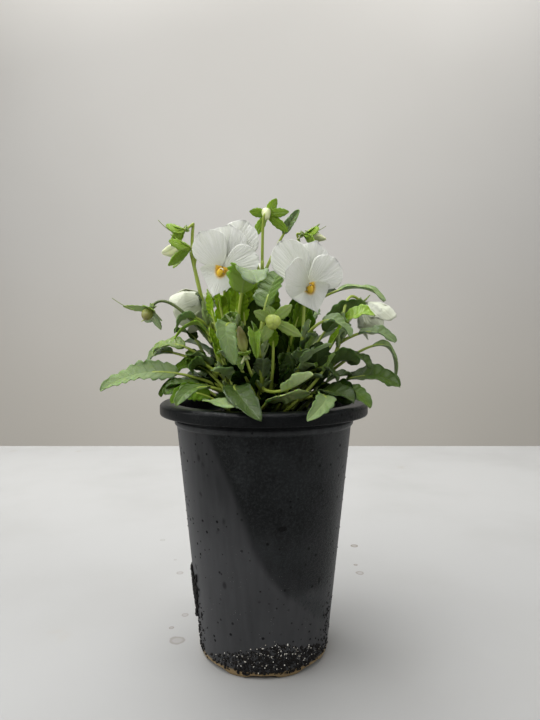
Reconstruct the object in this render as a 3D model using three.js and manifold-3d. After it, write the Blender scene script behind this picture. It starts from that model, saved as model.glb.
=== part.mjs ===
// A white-flowered garden viola growing in a black plastic nursery pot full of potting mix.
// Millimetres, +Z up. The origin is the middle of the pot's flat foot, and -Y is the front.
import * as THREE from 'three';
import { mergeVertices } from 'three/addons/utils/BufferGeometryUtils.js';
import Module from 'manifold-3d';

const wasm = await Module();
wasm.setup();

// Driving sizes of the pot.
const POT_HEIGHT = 144;
const RIM_RADIUS = 60; // outside of the turned-down collar
const BODY_TOP_RADIUS = 50.6; // outside of the wall, just under the collar
const FOOT_RADIUS = 37.1;
const WALL = 1.3;
const COLLAR_DROP = 6.7; // height of the collar's hanging band
const FLOOR_TOP = 4; // inside floor of the pot
const POT_SIDES = 36;

// Potting mix.
const GAP = 0.3; // clearance between pieces that touch
const MIX_EDGE = 132; // height of the mix where it meets the pot's wall
const MIX_MOUND = 4; // rise of the mix from there to the crown of the plant

// Plant.
const BLADE = 0.8; // thickness of a leaf or petal
const STEM_RADIUS = 1.8;
const STEM_TIP_RADIUS = 1.1;
const STALK_RADIUS = 0.8; // flower stalks
const PETIOLE = 1.8; // width of a leaf's stalk

const UP = new THREE.Vector3(0, 0, 1);
const vec = (p) => new THREE.Vector3(...p);
const rad = THREE.MathUtils.degToRad;
const evenly = (count, from = 0, to = 1) =>
  Array.from({ length: count + 1 }, (_, i) => from + ((to - from) * i) / count);

// ---------- closed meshes and joins ----------

function closedGeometry(points, faces) {
  const geometry = new THREE.BufferGeometry();
  geometry.setAttribute('position', new THREE.Float32BufferAttribute(points.flatMap((p) => p.toArray()), 3));
  geometry.setIndex(faces.flat());
  return geometry;
}

function solid(geometry) {
  const bare = geometry.clone();
  bare.deleteAttribute('normal');
  bare.deleteAttribute('uv');
  const merged = mergeVertices(bare, 1e-4);
  return new wasm.Manifold(new wasm.Mesh({
    numProp: 3,
    vertProperties: new Float32Array(merged.attributes.position.array),
    triVerts: new Uint32Array(merged.index.array),
  }));
}

const join = (geometries) => geometries.map(solid).reduce((sum, next) => sum.add(next));

function mesh(name, made, material) {
  const { vertProperties, triVerts } = made.getMesh();
  const geometry = new THREE.BufferGeometry();
  geometry.setAttribute('position', new THREE.BufferAttribute(new Float32Array(vertProperties), 3));
  geometry.setIndex(new THREE.BufferAttribute(new Uint32Array(triVerts), 1));
  geometry.computeVertexNormals();
  const piece = new THREE.Mesh(geometry, material);
  piece.name = name;
  return piece;
}

// A closed sheet, such as a leaf or a petal. pointAt(u, v) is its middle surface, and both faces
// are split into triangles alike.
function sheet(us, vs, pointAt, thicknessAt = () => BLADE) {
  const rows = us.map((u) => vs.map((v) => pointAt(u, v)));
  const [endRow, endColumn] = [us.length - 1, vs.length - 1];
  const upper = [];
  const lower = [];
  rows.forEach((row, i) => row.forEach((p, j) => {
    const along = rows[Math.min(i + 1, endRow)][j].clone().sub(rows[Math.max(i - 1, 0)][j]);
    const across = row[Math.min(j + 1, endColumn)].clone().sub(row[Math.max(j - 1, 0)]);
    const normal = along.cross(across).normalize().multiplyScalar(thicknessAt(us[i]) / 2);
    upper.push(p.clone().add(normal));
    lower.push(p.clone().sub(normal));
  }));
  const at = (i, j) => i * vs.length + j;
  const under = upper.length;
  const faces = [];
  for (let i = 0; i < endRow; i++) {
    for (let j = 0; j < endColumn; j++) {
      const [a, b, c, d] = [at(i, j), at(i + 1, j), at(i + 1, j + 1), at(i, j + 1)];
      faces.push([a, b, c], [a, c, d]);
      faces.push([a + under, c + under, b + under], [a + under, d + under, c + under]);
    }
  }
  const wall = (a, b) => faces.push([a + under, b + under, b], [a + under, b, a]);
  for (let i = 0; i < endRow; i++) {
    wall(at(i, 0), at(i + 1, 0));
    wall(at(i + 1, endColumn), at(i, endColumn));
  }
  for (let j = 0; j < endColumn; j++) {
    wall(at(0, j + 1), at(0, j));
    wall(at(endRow, j), at(endRow, j + 1));
  }
  return closedGeometry([...upper, ...lower], faces);
}

// A closed round stem along a curve, tapered from one radius to the other.
function rod(curve, from, to, sides, steps) {
  const points = [];
  const faces = [];
  const side = new THREE.Vector3(0.31, 0.95, 0.05);
  evenly(steps).forEach((t) => {
    const middle = curve.getPoint(t);
    const tangent = curve.getTangent(t);
    side.addScaledVector(tangent, -side.dot(tangent)).normalize();
    const other = tangent.clone().cross(side);
    const radius = from + (to - from) * t;
    for (let k = 0; k < sides; k++) {
      const turn = (2 * Math.PI * k) / sides;
      const out = side.clone().multiplyScalar(Math.cos(turn)).addScaledVector(other, Math.sin(turn));
      points.push(middle.clone().addScaledVector(out, radius));
    }
  });
  for (let i = 0; i < steps * sides; i += sides) {
    for (let k = 0; k < sides; k++) {
      const next = (k + 1) % sides;
      faces.push([i + k, i + next, i + sides + next], [i + k, i + sides + next, i + sides + k]);
    }
  }
  const top = steps * sides;
  for (let k = 1; k < sides - 1; k++) {
    faces.push([0, k + 1, k], [top, top + k, top + k + 1]);
  }
  return closedGeometry(points, faces);
}

const bend = (a, b, c) => new THREE.QuadraticBezierCurve3(vec(a), vec(b), vec(c));

// The place of a bloom, bud or capsule: its +Z faces azimuth and pitch, and its +Y is its upper side.
function facing(at, azimuth, pitch, roll = 0) {
  const level = Math.cos(rad(pitch));
  const out = new THREE.Vector3(level * Math.cos(rad(azimuth)), level * Math.sin(rad(azimuth)), Math.sin(rad(pitch)));
  const right = UP.clone().cross(out).normalize();
  return new THREE.Matrix4().makeBasis(right, out.clone().cross(right), out)
    .multiply(new THREE.Matrix4().makeRotationZ(rad(roll)))
    .setPosition(vec(at));
}

// ---------- pot ----------

const WALL_SLOPE = (BODY_TOP_RADIUS - FOOT_RADIUS) / (POT_HEIGHT - 12);
const outerWall = (z) => FOOT_RADIUS + WALL_SLOPE * z;
const innerWall = (z) => outerWall(z) - WALL;

function potShell() {
  const band = POT_HEIGHT - COLLAR_DROP;
  const profile = [
    // floor, raised inside its foot ring
    [0, 0], [12, 0], [13.5, 2.5], [31, 2.5], [32.5, 0], [FOOT_RADIUS - 0.6, 0], [FOOT_RADIUS, 1.5],
    // wall, stacking bead, and the inside of the collar
    [outerWall(131), 131], [outerWall(131) + 1.2, 131.8], [outerWall(131) + 1.3, 134], [outerWall(135), 134.8],
    [outerWall(142), 142], [RIM_RADIUS - 1.5, 142], [RIM_RADIUS - 1.2, band],
    // collar and its flat top
    [RIM_RADIUS - 0.3, band], [RIM_RADIUS, band + 0.8], [RIM_RADIUS, POT_HEIGHT - 1.4],
    [RIM_RADIUS - 1.6, POT_HEIGHT], [outerWall(POT_HEIGHT) - 0.4, POT_HEIGHT],
    // inside of the wall and the floor
    [innerWall(142), 142], [innerWall(FLOOR_TOP), FLOOR_TOP], [0, FLOOR_TOP],
  ].map(([r, z]) => new THREE.Vector2(r, z));
  return solid(new THREE.LatheGeometry(profile, POT_SIDES).rotateX(Math.PI / 2));
}

// Shallow arches round the foot, and a ring of drain holes in the floor.
function potCuts() {
  const arch = new THREE.Shape();
  arch.moveTo(-11, -1);
  [[11, -1], [10.6, 0.6], [5, 2.2], [-5, 2.2], [-10.6, 0.6]].forEach(([x, z]) => arch.lineTo(x, z));
  return [0, 1, 2, 3, 4, 5, 6, 7].flatMap((k) => {
    const turn = (Math.PI * k) / 4;
    const notch = new THREE.ExtrudeGeometry(arch, { depth: 8, bevelEnabled: false })
      .rotateX(Math.PI / 2)
      .translate(0, 1.3 - FOOT_RADIUS, 0)
      .rotateZ(turn);
    const drain = new THREE.CylinderGeometry(3.5, 3.5, 6, 8)
      .rotateX(Math.PI / 2)
      .translate(0, 23, 3)
      .rotateZ(turn);
    return [solid(notch), solid(drain)];
  });
}

const pot = () => potCuts().reduce((shell, cut) => shell.subtract(cut), potShell());

// ---------- potting mix ----------

// The plug of mix, with a crumbled top that rises to the crown, and a plain hole for each stem.
function pottingMix(stems) {
  const edge = innerWall(MIX_EDGE) - GAP - 0.3;
  const foot = innerWall(FLOOR_TOP) - GAP - 0.3;
  const profile = [[0, FLOOR_TOP + GAP], [foot, FLOOR_TOP + GAP], ...[edge, 38, 26, 13, 0].map((r) => [r, MIX_EDGE])]
    .map(([r, z]) => new THREE.Vector2(r, z));
  const plug = new THREE.LatheGeometry(profile, 24).rotateX(Math.PI / 2);
  const points = plug.getAttribute('position');
  for (let i = 0; i < points.count; i++) {
    const [x, y] = [points.getX(i), points.getY(i)];
    const share = Math.hypot(x, y) / edge;
    if (points.getZ(i) > MIX_EDGE - 1 && share < 0.99) {
      const crumbs = 0.9 * Math.sin(0.61 * x + 1.3) * Math.cos(0.53 * y) + 0.6 * Math.sin(0.97 * y - 0.41 * x);
      points.setZ(i, MIX_EDGE + MIX_MOUND * (1 - share ** 2) + crumbs);
    }
  }
  return stems.reduce((mix, stem) => {
    const [start, way] = [stem.getPoint(0), stem.getTangent(0)];
    const line = new THREE.LineCurve3(start.clone().addScaledVector(way, -0.5), start.clone().addScaledVector(way, 26));
    return mix.subtract(solid(rod(line, STEM_RADIUS + 0.9, STEM_RADIUS + 0.9, 8, 1)));
  }, solid(plug));
}

// ---------- leaves ----------

// Half the width of a round-tipped blade along its length, as a share of its greatest, with a notch
// between each two teeth of its edge.
const BLADE_STATIONS = [[0.14, 0.62], [0.36, 0.98], [0.46, 0.78], [0.66, 1], [0.78, 0.76], [0.98, 0.34]];
const SMALL_BLADE_STATIONS = [[0.28, 0.82], [0.66, 1], [0.98, 0.36]];

// A leaf whose midrib leaves the stem at foot, bends by way of `over` and ends at tip. The first
// share `bare` is its stalk. Each half is folded up by `fold`, and the leaf rolls by `roll`.
function leaf({ foot, over, tip, wide, roll = 0, fold = 18, bare = 0.3, stations = BLADE_STATIONS }) {
  const rib = new THREE.QuadraticBezierCurve3(foot, over, tip);
  const chord = tip.clone().sub(foot);
  const side = chord.clone().cross(UP);
  if (side.length() < 0.35 * chord.length()) {
    side.set(-foot.y, foot.x, 0);
  }
  side.normalize();
  const us = [0, bare, ...stations.map(([s]) => bare + (1 - bare) * s)];
  const halves = [PETIOLE / 2, PETIOLE / 2, ...stations.map(([, share]) => (wide / 2) * share)];
  const pointAt = (u, v) => {
    const tangent = rib.getTangent(u);
    const across = side.clone().addScaledVector(tangent, -side.dot(tangent)).normalize()
      .applyAxisAngle(tangent, rad(roll));
    const above = across.clone().cross(tangent);
    const half = halves[us.indexOf(u)];
    return rib.getPoint(u)
      .addScaledVector(across, v * half * Math.cos(rad(fold)))
      .addScaledVector(above, Math.abs(v) * half * Math.sin(rad(fold)));
  };
  return sheet(us, [-1, 0, 1], pointAt, (u) => (u <= bare ? 1.5 : BLADE));
}

// Smaller leaves set up a stem by rule: they swing from side to side of `azimuth` and stand up more
// towards the top.
function filler(stem, { count, azimuth, spread, reach, from = 0.22, to = 0.95, low = 10, high = 70, wide = 16 }) {
  return evenly(count - 1).map((share, k) => {
    const foot = stem.getPoint(from + (to - from) * share);
    const turn = rad(azimuth + spread * Math.sin(2.4 * k + 0.6));
    const rise = rad(low + (high - low) * share);
    const length = reach * (1 - 0.3 * share) * (1 + 0.12 * Math.sin(5 * k));
    const out = new THREE.Vector3(Math.cos(rise) * Math.cos(turn), Math.cos(rise) * Math.sin(turn), Math.sin(rise));
    const tip = foot.clone().addScaledVector(out, length);
    const over = foot.clone().addScaledVector(out, 0.5 * length).addScaledVector(UP, 0.3 * length);
    return leaf({ foot, over, tip, wide: wide - 3 * share, roll: 24 * Math.sin(3.1 * k), stations: SMALL_BLADE_STATIONS });
  });
}

// ---------- flowers, buds and capsules ----------

const CALYX_BACK = -3; // how far the calyx stands behind the throat
const SEAT = CALYX_BACK + BLADE / 2 + GAP; // foot of what the calyx holds
const SEPAL_TURNS = [0, 66, 130, 230, 294];

// Five pointed sepals in a star round the end of the flower's stalk. They open by `open` from the
// way the flower faces, and the star is raised a little to clear the spur of a bloom.
function calyx(place, { length, open, raised, broad = 3.6 }) {
  const spots = [[0, 0, 0]];
  SEPAL_TURNS.forEach((turn, k) => {
    const next = (SEPAL_TURNS[k + 1] ?? 360) - turn;
    const shoulder = 0.5 * length;
    const lean = THREE.MathUtils.radToDeg(Math.atan2(broad / 2, shoulder));
    spots.push([turn - lean, shoulder, 0.3], [turn, length, 1.2], [turn + lean, shoulder, 0.3], [turn + next / 2, 1.5, 0]);
  });
  const side = (offset) => spots.map(([turn, reach, sag]) => {
    const out = new THREE.Vector3(-Math.sin(rad(turn)), Math.cos(rad(turn)), 0);
    const normal = new THREE.Vector3(0, 0, reach ? Math.sin(rad(open)) : 1);
    if (reach) normal.addScaledVector(out, -Math.cos(rad(open)));
    return out.multiplyScalar(reach * Math.sin(rad(open)))
      .add(new THREE.Vector3(0, raised, CALYX_BACK + reach * Math.cos(rad(open)) - sag))
      .addScaledVector(normal, offset)
      .applyMatrix4(place);
  });
  const faces = [];
  const under = spots.length;
  for (let k = 0; k < 5; k++) {
    const [left, tip, right, notch] = [1, 2, 3, 4].map((i) => 4 * k + i);
    const before = k ? 4 * k : 20;
    const upper = [[0, before, notch], [before, right, notch], [before, left, right], [left, tip, right]];
    faces.push(...upper, ...upper.map(([a, b, c]) => [a + under, c + under, b + under]));
    [[before, left], [left, tip], [tip, right], [right, notch]].forEach(([a, b]) => {
      faces.push([a, b + under, b], [a, a + under, b + under]);
    });
  }
  return closedGeometry([...side(BLADE / 2), ...side(-BLADE / 2)], faces);
}

// Half the width of a petal along its length, as a share of its greatest.
const FAN = [0.16, 0.66, 0.96, 1, 0.56];
const LIP = [0.3, 0.9, 1, 0.7, 0.18];

function petal({ turn, long, wide, lift, lean, curl, outline = FAN }) {
  const spin = new THREE.Matrix4().makeRotationZ(rad(turn));
  return sheet(evenly(4), evenly(4, -1, 1), (u, v) => {
    const along = long * u * (1 - 0.1 * v * v * u);
    const half = (wide / 2) * outline[Math.round(4 * u)];
    const depth = lift - Math.tan(rad(lean)) * along - curl * v * v * u + 0.4 * Math.sin(2.6 * v + turn) * u * u;
    return new THREE.Vector3(v * half, along, depth).applyMatrix4(spin);
  });
}

// Petals of an open bloom: two upper, two side and a lip below. Each lies in front of the one before.
const OPEN_BLOOM = [
  { turn: -15, long: 30, wide: 22, lift: -1.3, lean: 9, curl: 2.5 },
  { turn: 14, long: 28, wide: 21, lift: -0.5, lean: 6, curl: 0.4 },
  { turn: 57, long: 21, wide: 20, lift: 0.4, lean: -3, curl: 0.5 },
  { turn: -57, long: 21, wide: 20, lift: 0.4, lean: -3, curl: 0.5 },
  { turn: 180, long: 15, wide: 21, lift: 1.3, lean: 4, curl: 4.5, outline: LIP },
];

// The corolla of an open bloom, joined at the throat, with the short spur behind.
function openCorolla(place) {
  const throat = new THREE.CylinderGeometry(2.4, 1.4, 3.2, 8).rotateX(Math.PI / 2).translate(0, -1.2, 0.3);
  const spur = rod(bend([0, -2.2, -0.6], [0, -2.6, -4], [0, -2.2, -6.5]), 1.05, 0.8, 5, 2);
  return join([throat, spur, ...OPEN_BLOOM.map(petal)].map((piece) => piece.applyMatrix4(place)));
}

// The corolla of a bloom not yet open: five petals still wrapped round each other as a lobed funnel.
function funnelCorolla(place) {
  const profile = [
    [0, SEAT], [0.6, SEAT], [3.6, 2], [6.4, 6.5], [9.4, 11.5], [10, 15], [9.2, 15.2], [8.4, 11.6], [5.4, 6.8], [2.4, 2.6], [0, 1.6],
  ].map(([r, z]) => new THREE.Vector2(r, z));
  const funnel = new THREE.LatheGeometry(profile, 15).rotateX(Math.PI / 2);
  const points = funnel.getAttribute('position');
  for (let i = 0; i < points.count; i++) {
    const [x, y, z] = [points.getX(i), points.getY(i), points.getZ(i)];
    const lobe = Math.cos(5 * Math.atan2(y, x) + Math.PI / 2);
    const opening = Math.max(0, z / 15) ** 2;
    const spread = 1 + 0.12 * lobe * opening + (y > 0 ? 0.18 : -0.08) * opening;
    points.setXYZ(i, x * spread, y * spread, z * (1 + 0.12 * lobe * opening));
  }
  return solid(funnel.applyMatrix4(place));
}

// The bearded style in the throat, a small yellow knob.
const eye = (place) => solid(new THREE.SphereGeometry(2, 8, 4).rotateX(Math.PI / 2)
  .scale(1, 1.25, 0.55).translate(0, -1.4, 3.2).applyMatrix4(place));

// A closed bud, its petals rolled to a blunt point.
function bud(place, { long = 10, wide = 6 }) {
  const profile = [[0, 0], [0.2, 0.05], [0.5, 0.38], [0.42, 0.7], [0.16, 0.96], [0, 1]]
    .map(([r, z]) => new THREE.Vector2(r * wide, SEAT + 1.3 + z * long));
  return solid(new THREE.LatheGeometry(profile, 8).rotateX(Math.PI / 2).applyMatrix4(place));
}

// A round seed capsule with three faint ribs.
function capsule(place, { radius = 4.2 }) {
  const ball = new THREE.SphereGeometry(radius, 12, 8).rotateX(Math.PI / 2);
  const points = ball.getAttribute('position');
  for (let i = 0; i < points.count; i++) {
    const swell = 1 + 0.05 * Math.cos(3 * Math.atan2(points.getY(i), points.getX(i)));
    points.setXYZ(i, points.getX(i) * swell, points.getY(i) * swell, points.getZ(i) * 1.08);
  }
  return solid(ball.translate(0, 0, SEAT + 1.08 * radius).applyMatrix4(place));
}

// What a flower stalk can bear: the pieces that stand in its calyx, each by name.
const BORNE = {
  bloom: (place) => ({ bloom_petals: openCorolla(place), bloom_eye: eye(place) }),
  young_bloom: (place) => ({ young_bloom: funnelCorolla(place) }),
  bud: (place, shape) => ({ bud: bud(place, shape) }),
  capsule: (place, shape) => ({ seed_capsule: capsule(place, shape) }),
  nothing: () => ({}),
};

// ---------- the plant ----------

// Each leafy stem: its path from its foot in the mix, its leaves (from a share of the path, by way
// of a bend, to a tip), smaller leaves set by rule, and its flower stalks.
const STEMS = {
  left: {
    path: [[-11, -2, 126], [-29, -6, 170], [-42, -3, 230]],
    leaves: [
      { from: 0.26, over: [-63, -11, 172], tip: [-94, -6, 150], wide: 18, roll: -42, bare: 0.36 },
      { from: 0.32, over: [-49, -2, 187], tip: [-66, 4, 172], wide: 14, roll: -30, bare: 0.5 },
      { from: 0.36, over: [-66, 3, 182], tip: [-69, 8, 165], wide: 11, roll: -40, bare: 0.45 },
      { from: 0.2, over: [-40, 4, 160], tip: [-61, 11, 148], wide: 15, roll: -20, bare: 0.35 },
      { from: 0.24, over: [-44, -10, 160], tip: [-55, -16, 149], wide: 14, roll: -25, bare: 0.4 },
      { from: 0.62, over: [-46, -8, 200], tip: [-50, -10, 184], wide: 9, roll: 20, bare: 0.3 },
    ],
    filler: { count: 3, azimuth: 172, spread: 14, reach: 26, from: 0.34, to: 0.66, low: 30 },
    stalks: [
      { from: 0.97, over: [-42, -3, 252], at: [-48, -5, 241], bears: 'nothing', face: [180, -25], open: 38, length: 12 },
      { from: 0.93, over: [-38, -3, 238], at: [-44, -8, 231], bears: 'bud', face: [184, -10], open: 46, length: 15, long: 16, wide: 8 },
      { from: 0.5, over: [-50, -9, 204], at: [-65, -10, 195], bears: 'capsule', face: [222, -42], open: 74, length: 14, broad: 5, radius: 3.4 },
    ],
  },
  front_left: {
    path: [[-8, -8, 126], [-16, -20, 160], [-14, -28, 186]],
    leaves: [
      { from: 0.9, over: [-17, -30, 213], tip: [3, -46, 215], wide: 23, roll: 10, bare: 0.35 },
      { from: 1, over: [-24, -44, 194], tip: [-14, -47, 167], wide: 12, roll: -10, bare: 0.2 },
      { from: 0.42, over: [-21, -44, 160], tip: [-1, -64, 141.5], wide: 19, roll: 10, bare: 0.3 },
      { from: 0.3, over: [-38, -26, 162], tip: [-43, -48, 146.5], wide: 10, roll: -20, bare: 0.4 },
      { from: 0.25, over: [-42, -28, 150], tip: [-13, -57, 147.5], wide: 11, roll: 10, fold: 8, bare: 0.4 },
      { from: 0.35, over: [-12, -11, 166], tip: [-9, -12, 178], wide: 14, bare: 0.3 },
    ],
    filler: { count: 4, azimuth: 222, spread: 12, reach: 26, from: 0.34, to: 0.8, low: 35, high: 75 },
    stalks: [
      { from: 0.6, over: [-28, -1, 200], at: [-22.5, -20, 217.5], bears: 'bloom', face: [258, -4, -18], open: 108, length: 9 },
    ],
  },
  front: {
    path: [[0, -11, 126], [-1, -24, 150], [-2, -28, 178]],
    leaves: [
      { from: 0.85, over: [-6, -44, 196], tip: [-3, -45, 170], wide: 9, fold: 40, bare: 0.25 },
      { from: 0.55, over: [6, -50, 149], tip: [26, -46, 163], wide: 14, fold: 40, bare: 0.3 },
      { from: 0.3, over: [0, -62, 152], tip: [24, -38, 152], wide: 12, roll: 160, fold: 10, bare: 0.35 },
      { from: 1, over: [0, -20, 204], tip: [9, -10, 218], wide: 20, bare: 0.4 },
    ],
    filler: { count: 2, azimuth: 268, spread: 12, reach: 20, from: 0.5, to: 0.8, low: 65, high: 78, wide: 11 },
    stalks: [
      { from: 0.95, over: [0, -26, 200], at: [5, -36, 189], bears: 'capsule', face: [270, -10, 20], open: 84, length: 12 },
      { from: 0.5, over: [-6, -30, 160], at: [-10, -33, 174], bears: 'bud', face: [215, 75], open: 50, length: 5, long: 14, wide: 6 },
    ],
  },
  front_right: {
    path: [[8, -8, 126], [19, -20, 155], [22, -22, 185]],
    leaves: [
      { from: 0.9, over: [36, -24, 200], tip: [46, -30, 181], wide: 14, roll: 20, bare: 0.4 },
      { from: 0.6, over: [20, -38, 172], tip: [35, -38, 177], wide: 9, roll: 0, bare: 0.3 },
      { from: 0.3, over: [46, -34, 158], tip: [21, -64, 141.5], wide: 15, roll: -20, bare: 0.35 },
      { from: 0.5, over: [34, -24, 172], tip: [40, -24, 157], wide: 14, roll: 10, bare: 0.4 },
      { from: 0.3, over: [34, -26, 158], tip: [47, -36, 147], wide: 17, roll: 10, bare: 0.4 },
      { from: 0.3, over: [12, -18, 160], tip: [10, -18, 172], wide: 14, bare: 0.3 },
    ],
    filler: { count: 4, azimuth: 312, spread: 12, reach: 25, from: 0.36, to: 0.7, low: 30, high: 55 },
    stalks: [
      { from: 0.8, over: [24, -12, 204], at: [24, -24, 208], bears: 'bloom', face: [282, -2, 18], open: 108, length: 9 },
    ],
  },
  right: {
    path: [[11, -1, 126], [33, -8, 148], [46, -7, 185]],
    leaves: [
      { from: 0.4, over: [58, -12, 168], tip: [78, -6, 152.5], wide: 18, roll: 30, bare: 0.35 },
      { from: 0.35, over: [46, -20, 162], tip: [57, -29, 143], wide: 11, roll: 20, bare: 0.45 },
      { from: 0.6, over: [80, 0, 196], tip: [77, 2, 156], wide: 11, roll: 20, bare: 0.4 },
      { from: 0.9, over: [62, -12, 190], tip: [74, -11, 178], wide: 13, roll: 25, bare: 0.3 },
      { from: 1, over: [50, -12, 198], tip: [62, -14, 193], wide: 14, roll: 30, bare: 0.2 },
      { from: 0.65, over: [50, -12, 178], tip: [60, -14, 164], wide: 12, roll: 20, bare: 0.4 },
    ],
    filler: { count: 3, azimuth: 352, spread: 12, reach: 24, from: 0.45, to: 0.85, low: 25, high: 60 },
    stalks: [
      { from: 0.95, over: [46, 2, 206], at: [60, 10, 200], bears: 'young_bloom', face: [350, -50], open: 72, length: 8 },
    ],
  },
  back_right: {
    path: [[8, 7, 126], [24, 20, 165], [24, 18, 218]],
    leaves: [
      { from: 0.8, over: [56, 14, 222], tip: [73, 12, 203], wide: 12, roll: 20, bare: 0.35 },
      { from: 0.9, over: [28, 14, 226], tip: [40, 10, 214], wide: 12, roll: 20, bare: 0.3 },
    ],
    filler: { count: 8, azimuth: 38, spread: 26, reach: 42, low: 24, wide: 18 },
    stalks: [
      { from: 0.97, over: [24, 18, 246], at: [27, 16, 243], bears: 'bud', face: [352, -12], open: 50, length: 12, long: 12, wide: 6 },
    ],
  },
  back: {
    path: [[0, 11, 126], [-2, 16, 170], [-1, 5, 226]],
    leaves: [
      { from: 0.9, over: [6, 10, 236], tip: [21, 10, 257], wide: 9, roll: 70, bare: 0.55 },
      { from: 0.88, over: [-6, 0, 236], tip: [-14, 2, 234], wide: 7, bare: 0.3 },
      { from: 0.3, over: [-5, 14, 165], tip: [-7, 10, 185], wide: 17, bare: 0.35 },
      { from: 0.22, over: [7, 10, 160], tip: [9, 8, 178], wide: 16, bare: 0.35 },
      { from: 0.5, over: [5, 10, 186], tip: [5, 8, 201], wide: 15, bare: 0.35 },
    ],
    filler: { count: 8, azimuth: 90, spread: 26, reach: 40, low: 24, to: 0.6 },
    stalks: [
      { from: 0.98, over: [-1, 5, 252], at: [2, 7, 254], bears: 'bud', face: [80, 10, -10], open: 86, length: 11, broad: 4, long: 7, wide: 5 },
      { from: 0.6, over: [-6, 8, 204], at: [-7, 20, 213], bears: 'young_bloom', face: [95, 20], open: 75, length: 8 },
    ],
  },
  back_left: {
    path: [[-8, 7, 126], [-24, 20, 160], [-32, 18, 190]],
    leaves: [],
    filler: { count: 8, azimuth: 142, spread: 26, reach: 40, to: 0.75, low: 24, high: 55, wide: 18 },
    stalks: [
      { from: 0.9, over: [-22, 16, 204], at: [-33, 8, 203], bears: 'young_bloom', face: [172, -16], open: 75, length: 8 },
    ],
  },
};

const material = (color, roughness) => new THREE.MeshStandardMaterial({ color, roughness, metalness: 0 });
const BLACK_PLASTIC = material(0x2b2d2e, 0.45);
const MIX_BROWN = material(0x1f1812, 0.95);
const LEAF_GREEN = material(0x4f7d2c, 0.55);
const PETAL_WHITE = material(0xf0f1ec, 0.6);
const EYE_YELLOW = material(0xe6a51c, 0.6);
const BUD_GREEN = material(0xc9d38a, 0.55);

const plant = new THREE.Group();
plant.name = 'potted_viola';
plant.add(mesh('pot', pot(), BLACK_PLASTIC));
plant.add(mesh('potting_mix', pottingMix(Object.values(STEMS).map(({ path }) => bend(...path))), MIX_BROWN));

const counts = {};
const numbered = (kind) => {
  counts[kind] = (counts[kind] ?? 0) + 1;
  return `${kind}_${counts[kind]}`;
};
const COLOURS = { bloom_petals: PETAL_WHITE, bloom_eye: EYE_YELLOW, young_bloom: PETAL_WHITE, bud: BUD_GREEN, seed_capsule: BUD_GREEN };

for (const [name, { path, leaves, filler: small, stalks }] of Object.entries(STEMS)) {
  const stem = bend(...path);
  const green = [rod(stem, STEM_RADIUS, STEM_TIP_RADIUS, 5, 5), ...filler(stem, small)];
  for (const { from, over, tip, ...shape } of leaves) {
    green.push(leaf({ foot: stem.getPoint(from), over: vec(over), tip: vec(tip), ...shape }));
  }
  for (const { from, over, at, bears, face, open, length, broad, ...shape } of stalks) {
    const place = facing(at, ...face);
    const raised = bears === 'bloom' ? 0.8 : 0;
    const [end, before] = [CALYX_BACK, CALYX_BACK - 9].map((z) => new THREE.Vector3(0, raised, z).applyMatrix4(place));
    const line = new THREE.CubicBezierCurve3(stem.getPoint(from), vec(over), before, end);
    green.push(rod(line, STALK_RADIUS + 0.1, STALK_RADIUS, 4, 6), calyx(place, { open, length, broad, raised }));
    for (const [kind, piece] of Object.entries(BORNE[bears](place, shape))) {
      plant.add(mesh(numbered(kind), piece, COLOURS[kind]));
    }
  }
  plant.add(mesh(`leafy_stem_${name}`, join(green), LEAF_GREEN));
}

export default plant;
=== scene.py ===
import math

import bmesh
import bpy
import numpy as np
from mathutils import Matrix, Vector


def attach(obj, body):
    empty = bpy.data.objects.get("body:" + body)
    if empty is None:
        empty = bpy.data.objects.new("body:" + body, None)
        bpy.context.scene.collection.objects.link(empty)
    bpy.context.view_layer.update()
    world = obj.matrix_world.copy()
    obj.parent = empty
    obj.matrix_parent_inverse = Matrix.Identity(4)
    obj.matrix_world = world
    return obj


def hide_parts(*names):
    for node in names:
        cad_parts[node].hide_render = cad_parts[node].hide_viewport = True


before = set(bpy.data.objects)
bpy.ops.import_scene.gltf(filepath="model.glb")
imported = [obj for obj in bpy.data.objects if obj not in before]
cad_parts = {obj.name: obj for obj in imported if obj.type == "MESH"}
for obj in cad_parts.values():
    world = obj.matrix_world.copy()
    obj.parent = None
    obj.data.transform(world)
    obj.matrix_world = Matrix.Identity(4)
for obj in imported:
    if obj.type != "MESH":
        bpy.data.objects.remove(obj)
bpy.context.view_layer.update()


# ---------------------------------------------------------------- pot
# The pot is one thin shell of black polypropylene, blown in a mould. Its rim is turned down into a
# collar, a bead under the collar keeps stacked pots apart, and arches round its foot let water out.

MM = 0.001  # every size below is in millimetres
POT_HEIGHT = 144
RIM_RADIUS = 60
BODY_TOP, BODY_TOP_RADIUS = 132, 50.6
FOOT_RADIUS = 37.1
WALL = 1.3
WALL_SLOPE = (BODY_TOP_RADIUS - FOOT_RADIUS) / BODY_TOP
COLLAR_DROP, RIM_THICK = 6.7, 2
BEAD, BEAD_PROUD = 131, 1.3  # the bead's lower edge, and how far it stands out
FLOOR_TOP = 4
RECESS_INNER, RECESS_OUTER, RECESS_DEPTH = 12, 32.5, 2.5  # a hollow ring under the floor
SECTION_HEIGHTS = [BEAD, 110, 85, 60, 35, 12]  # where the section of the wall has its points
CORNER_RADIUS = 0.7
POT_SIDES = 192
ARCHES, ARCH_HEIGHT, ARCH_HALF, ARCH_SHOULDER = 8, 2.2, 11, 6
DRAIN_RADIUS, DRAIN_RING, DRAIN_SIDES = 3.5, 23, 32
SHARPEST_SMOOTHED = 50  # degrees
WATER_LINE, WATER_LINE_TOP = 3.0, 4.6  # solid up to the first height, and gone at the second


def outer_wall(z):
    """The outer radius of the wall at this height."""
    return FOOT_RADIUS + WALL_SLOPE * z


def smooth_step(low, high, x):
    share = np.clip((x - low) / (high - low), 0, 1)
    return share * share * (3 - 2 * share)


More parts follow.
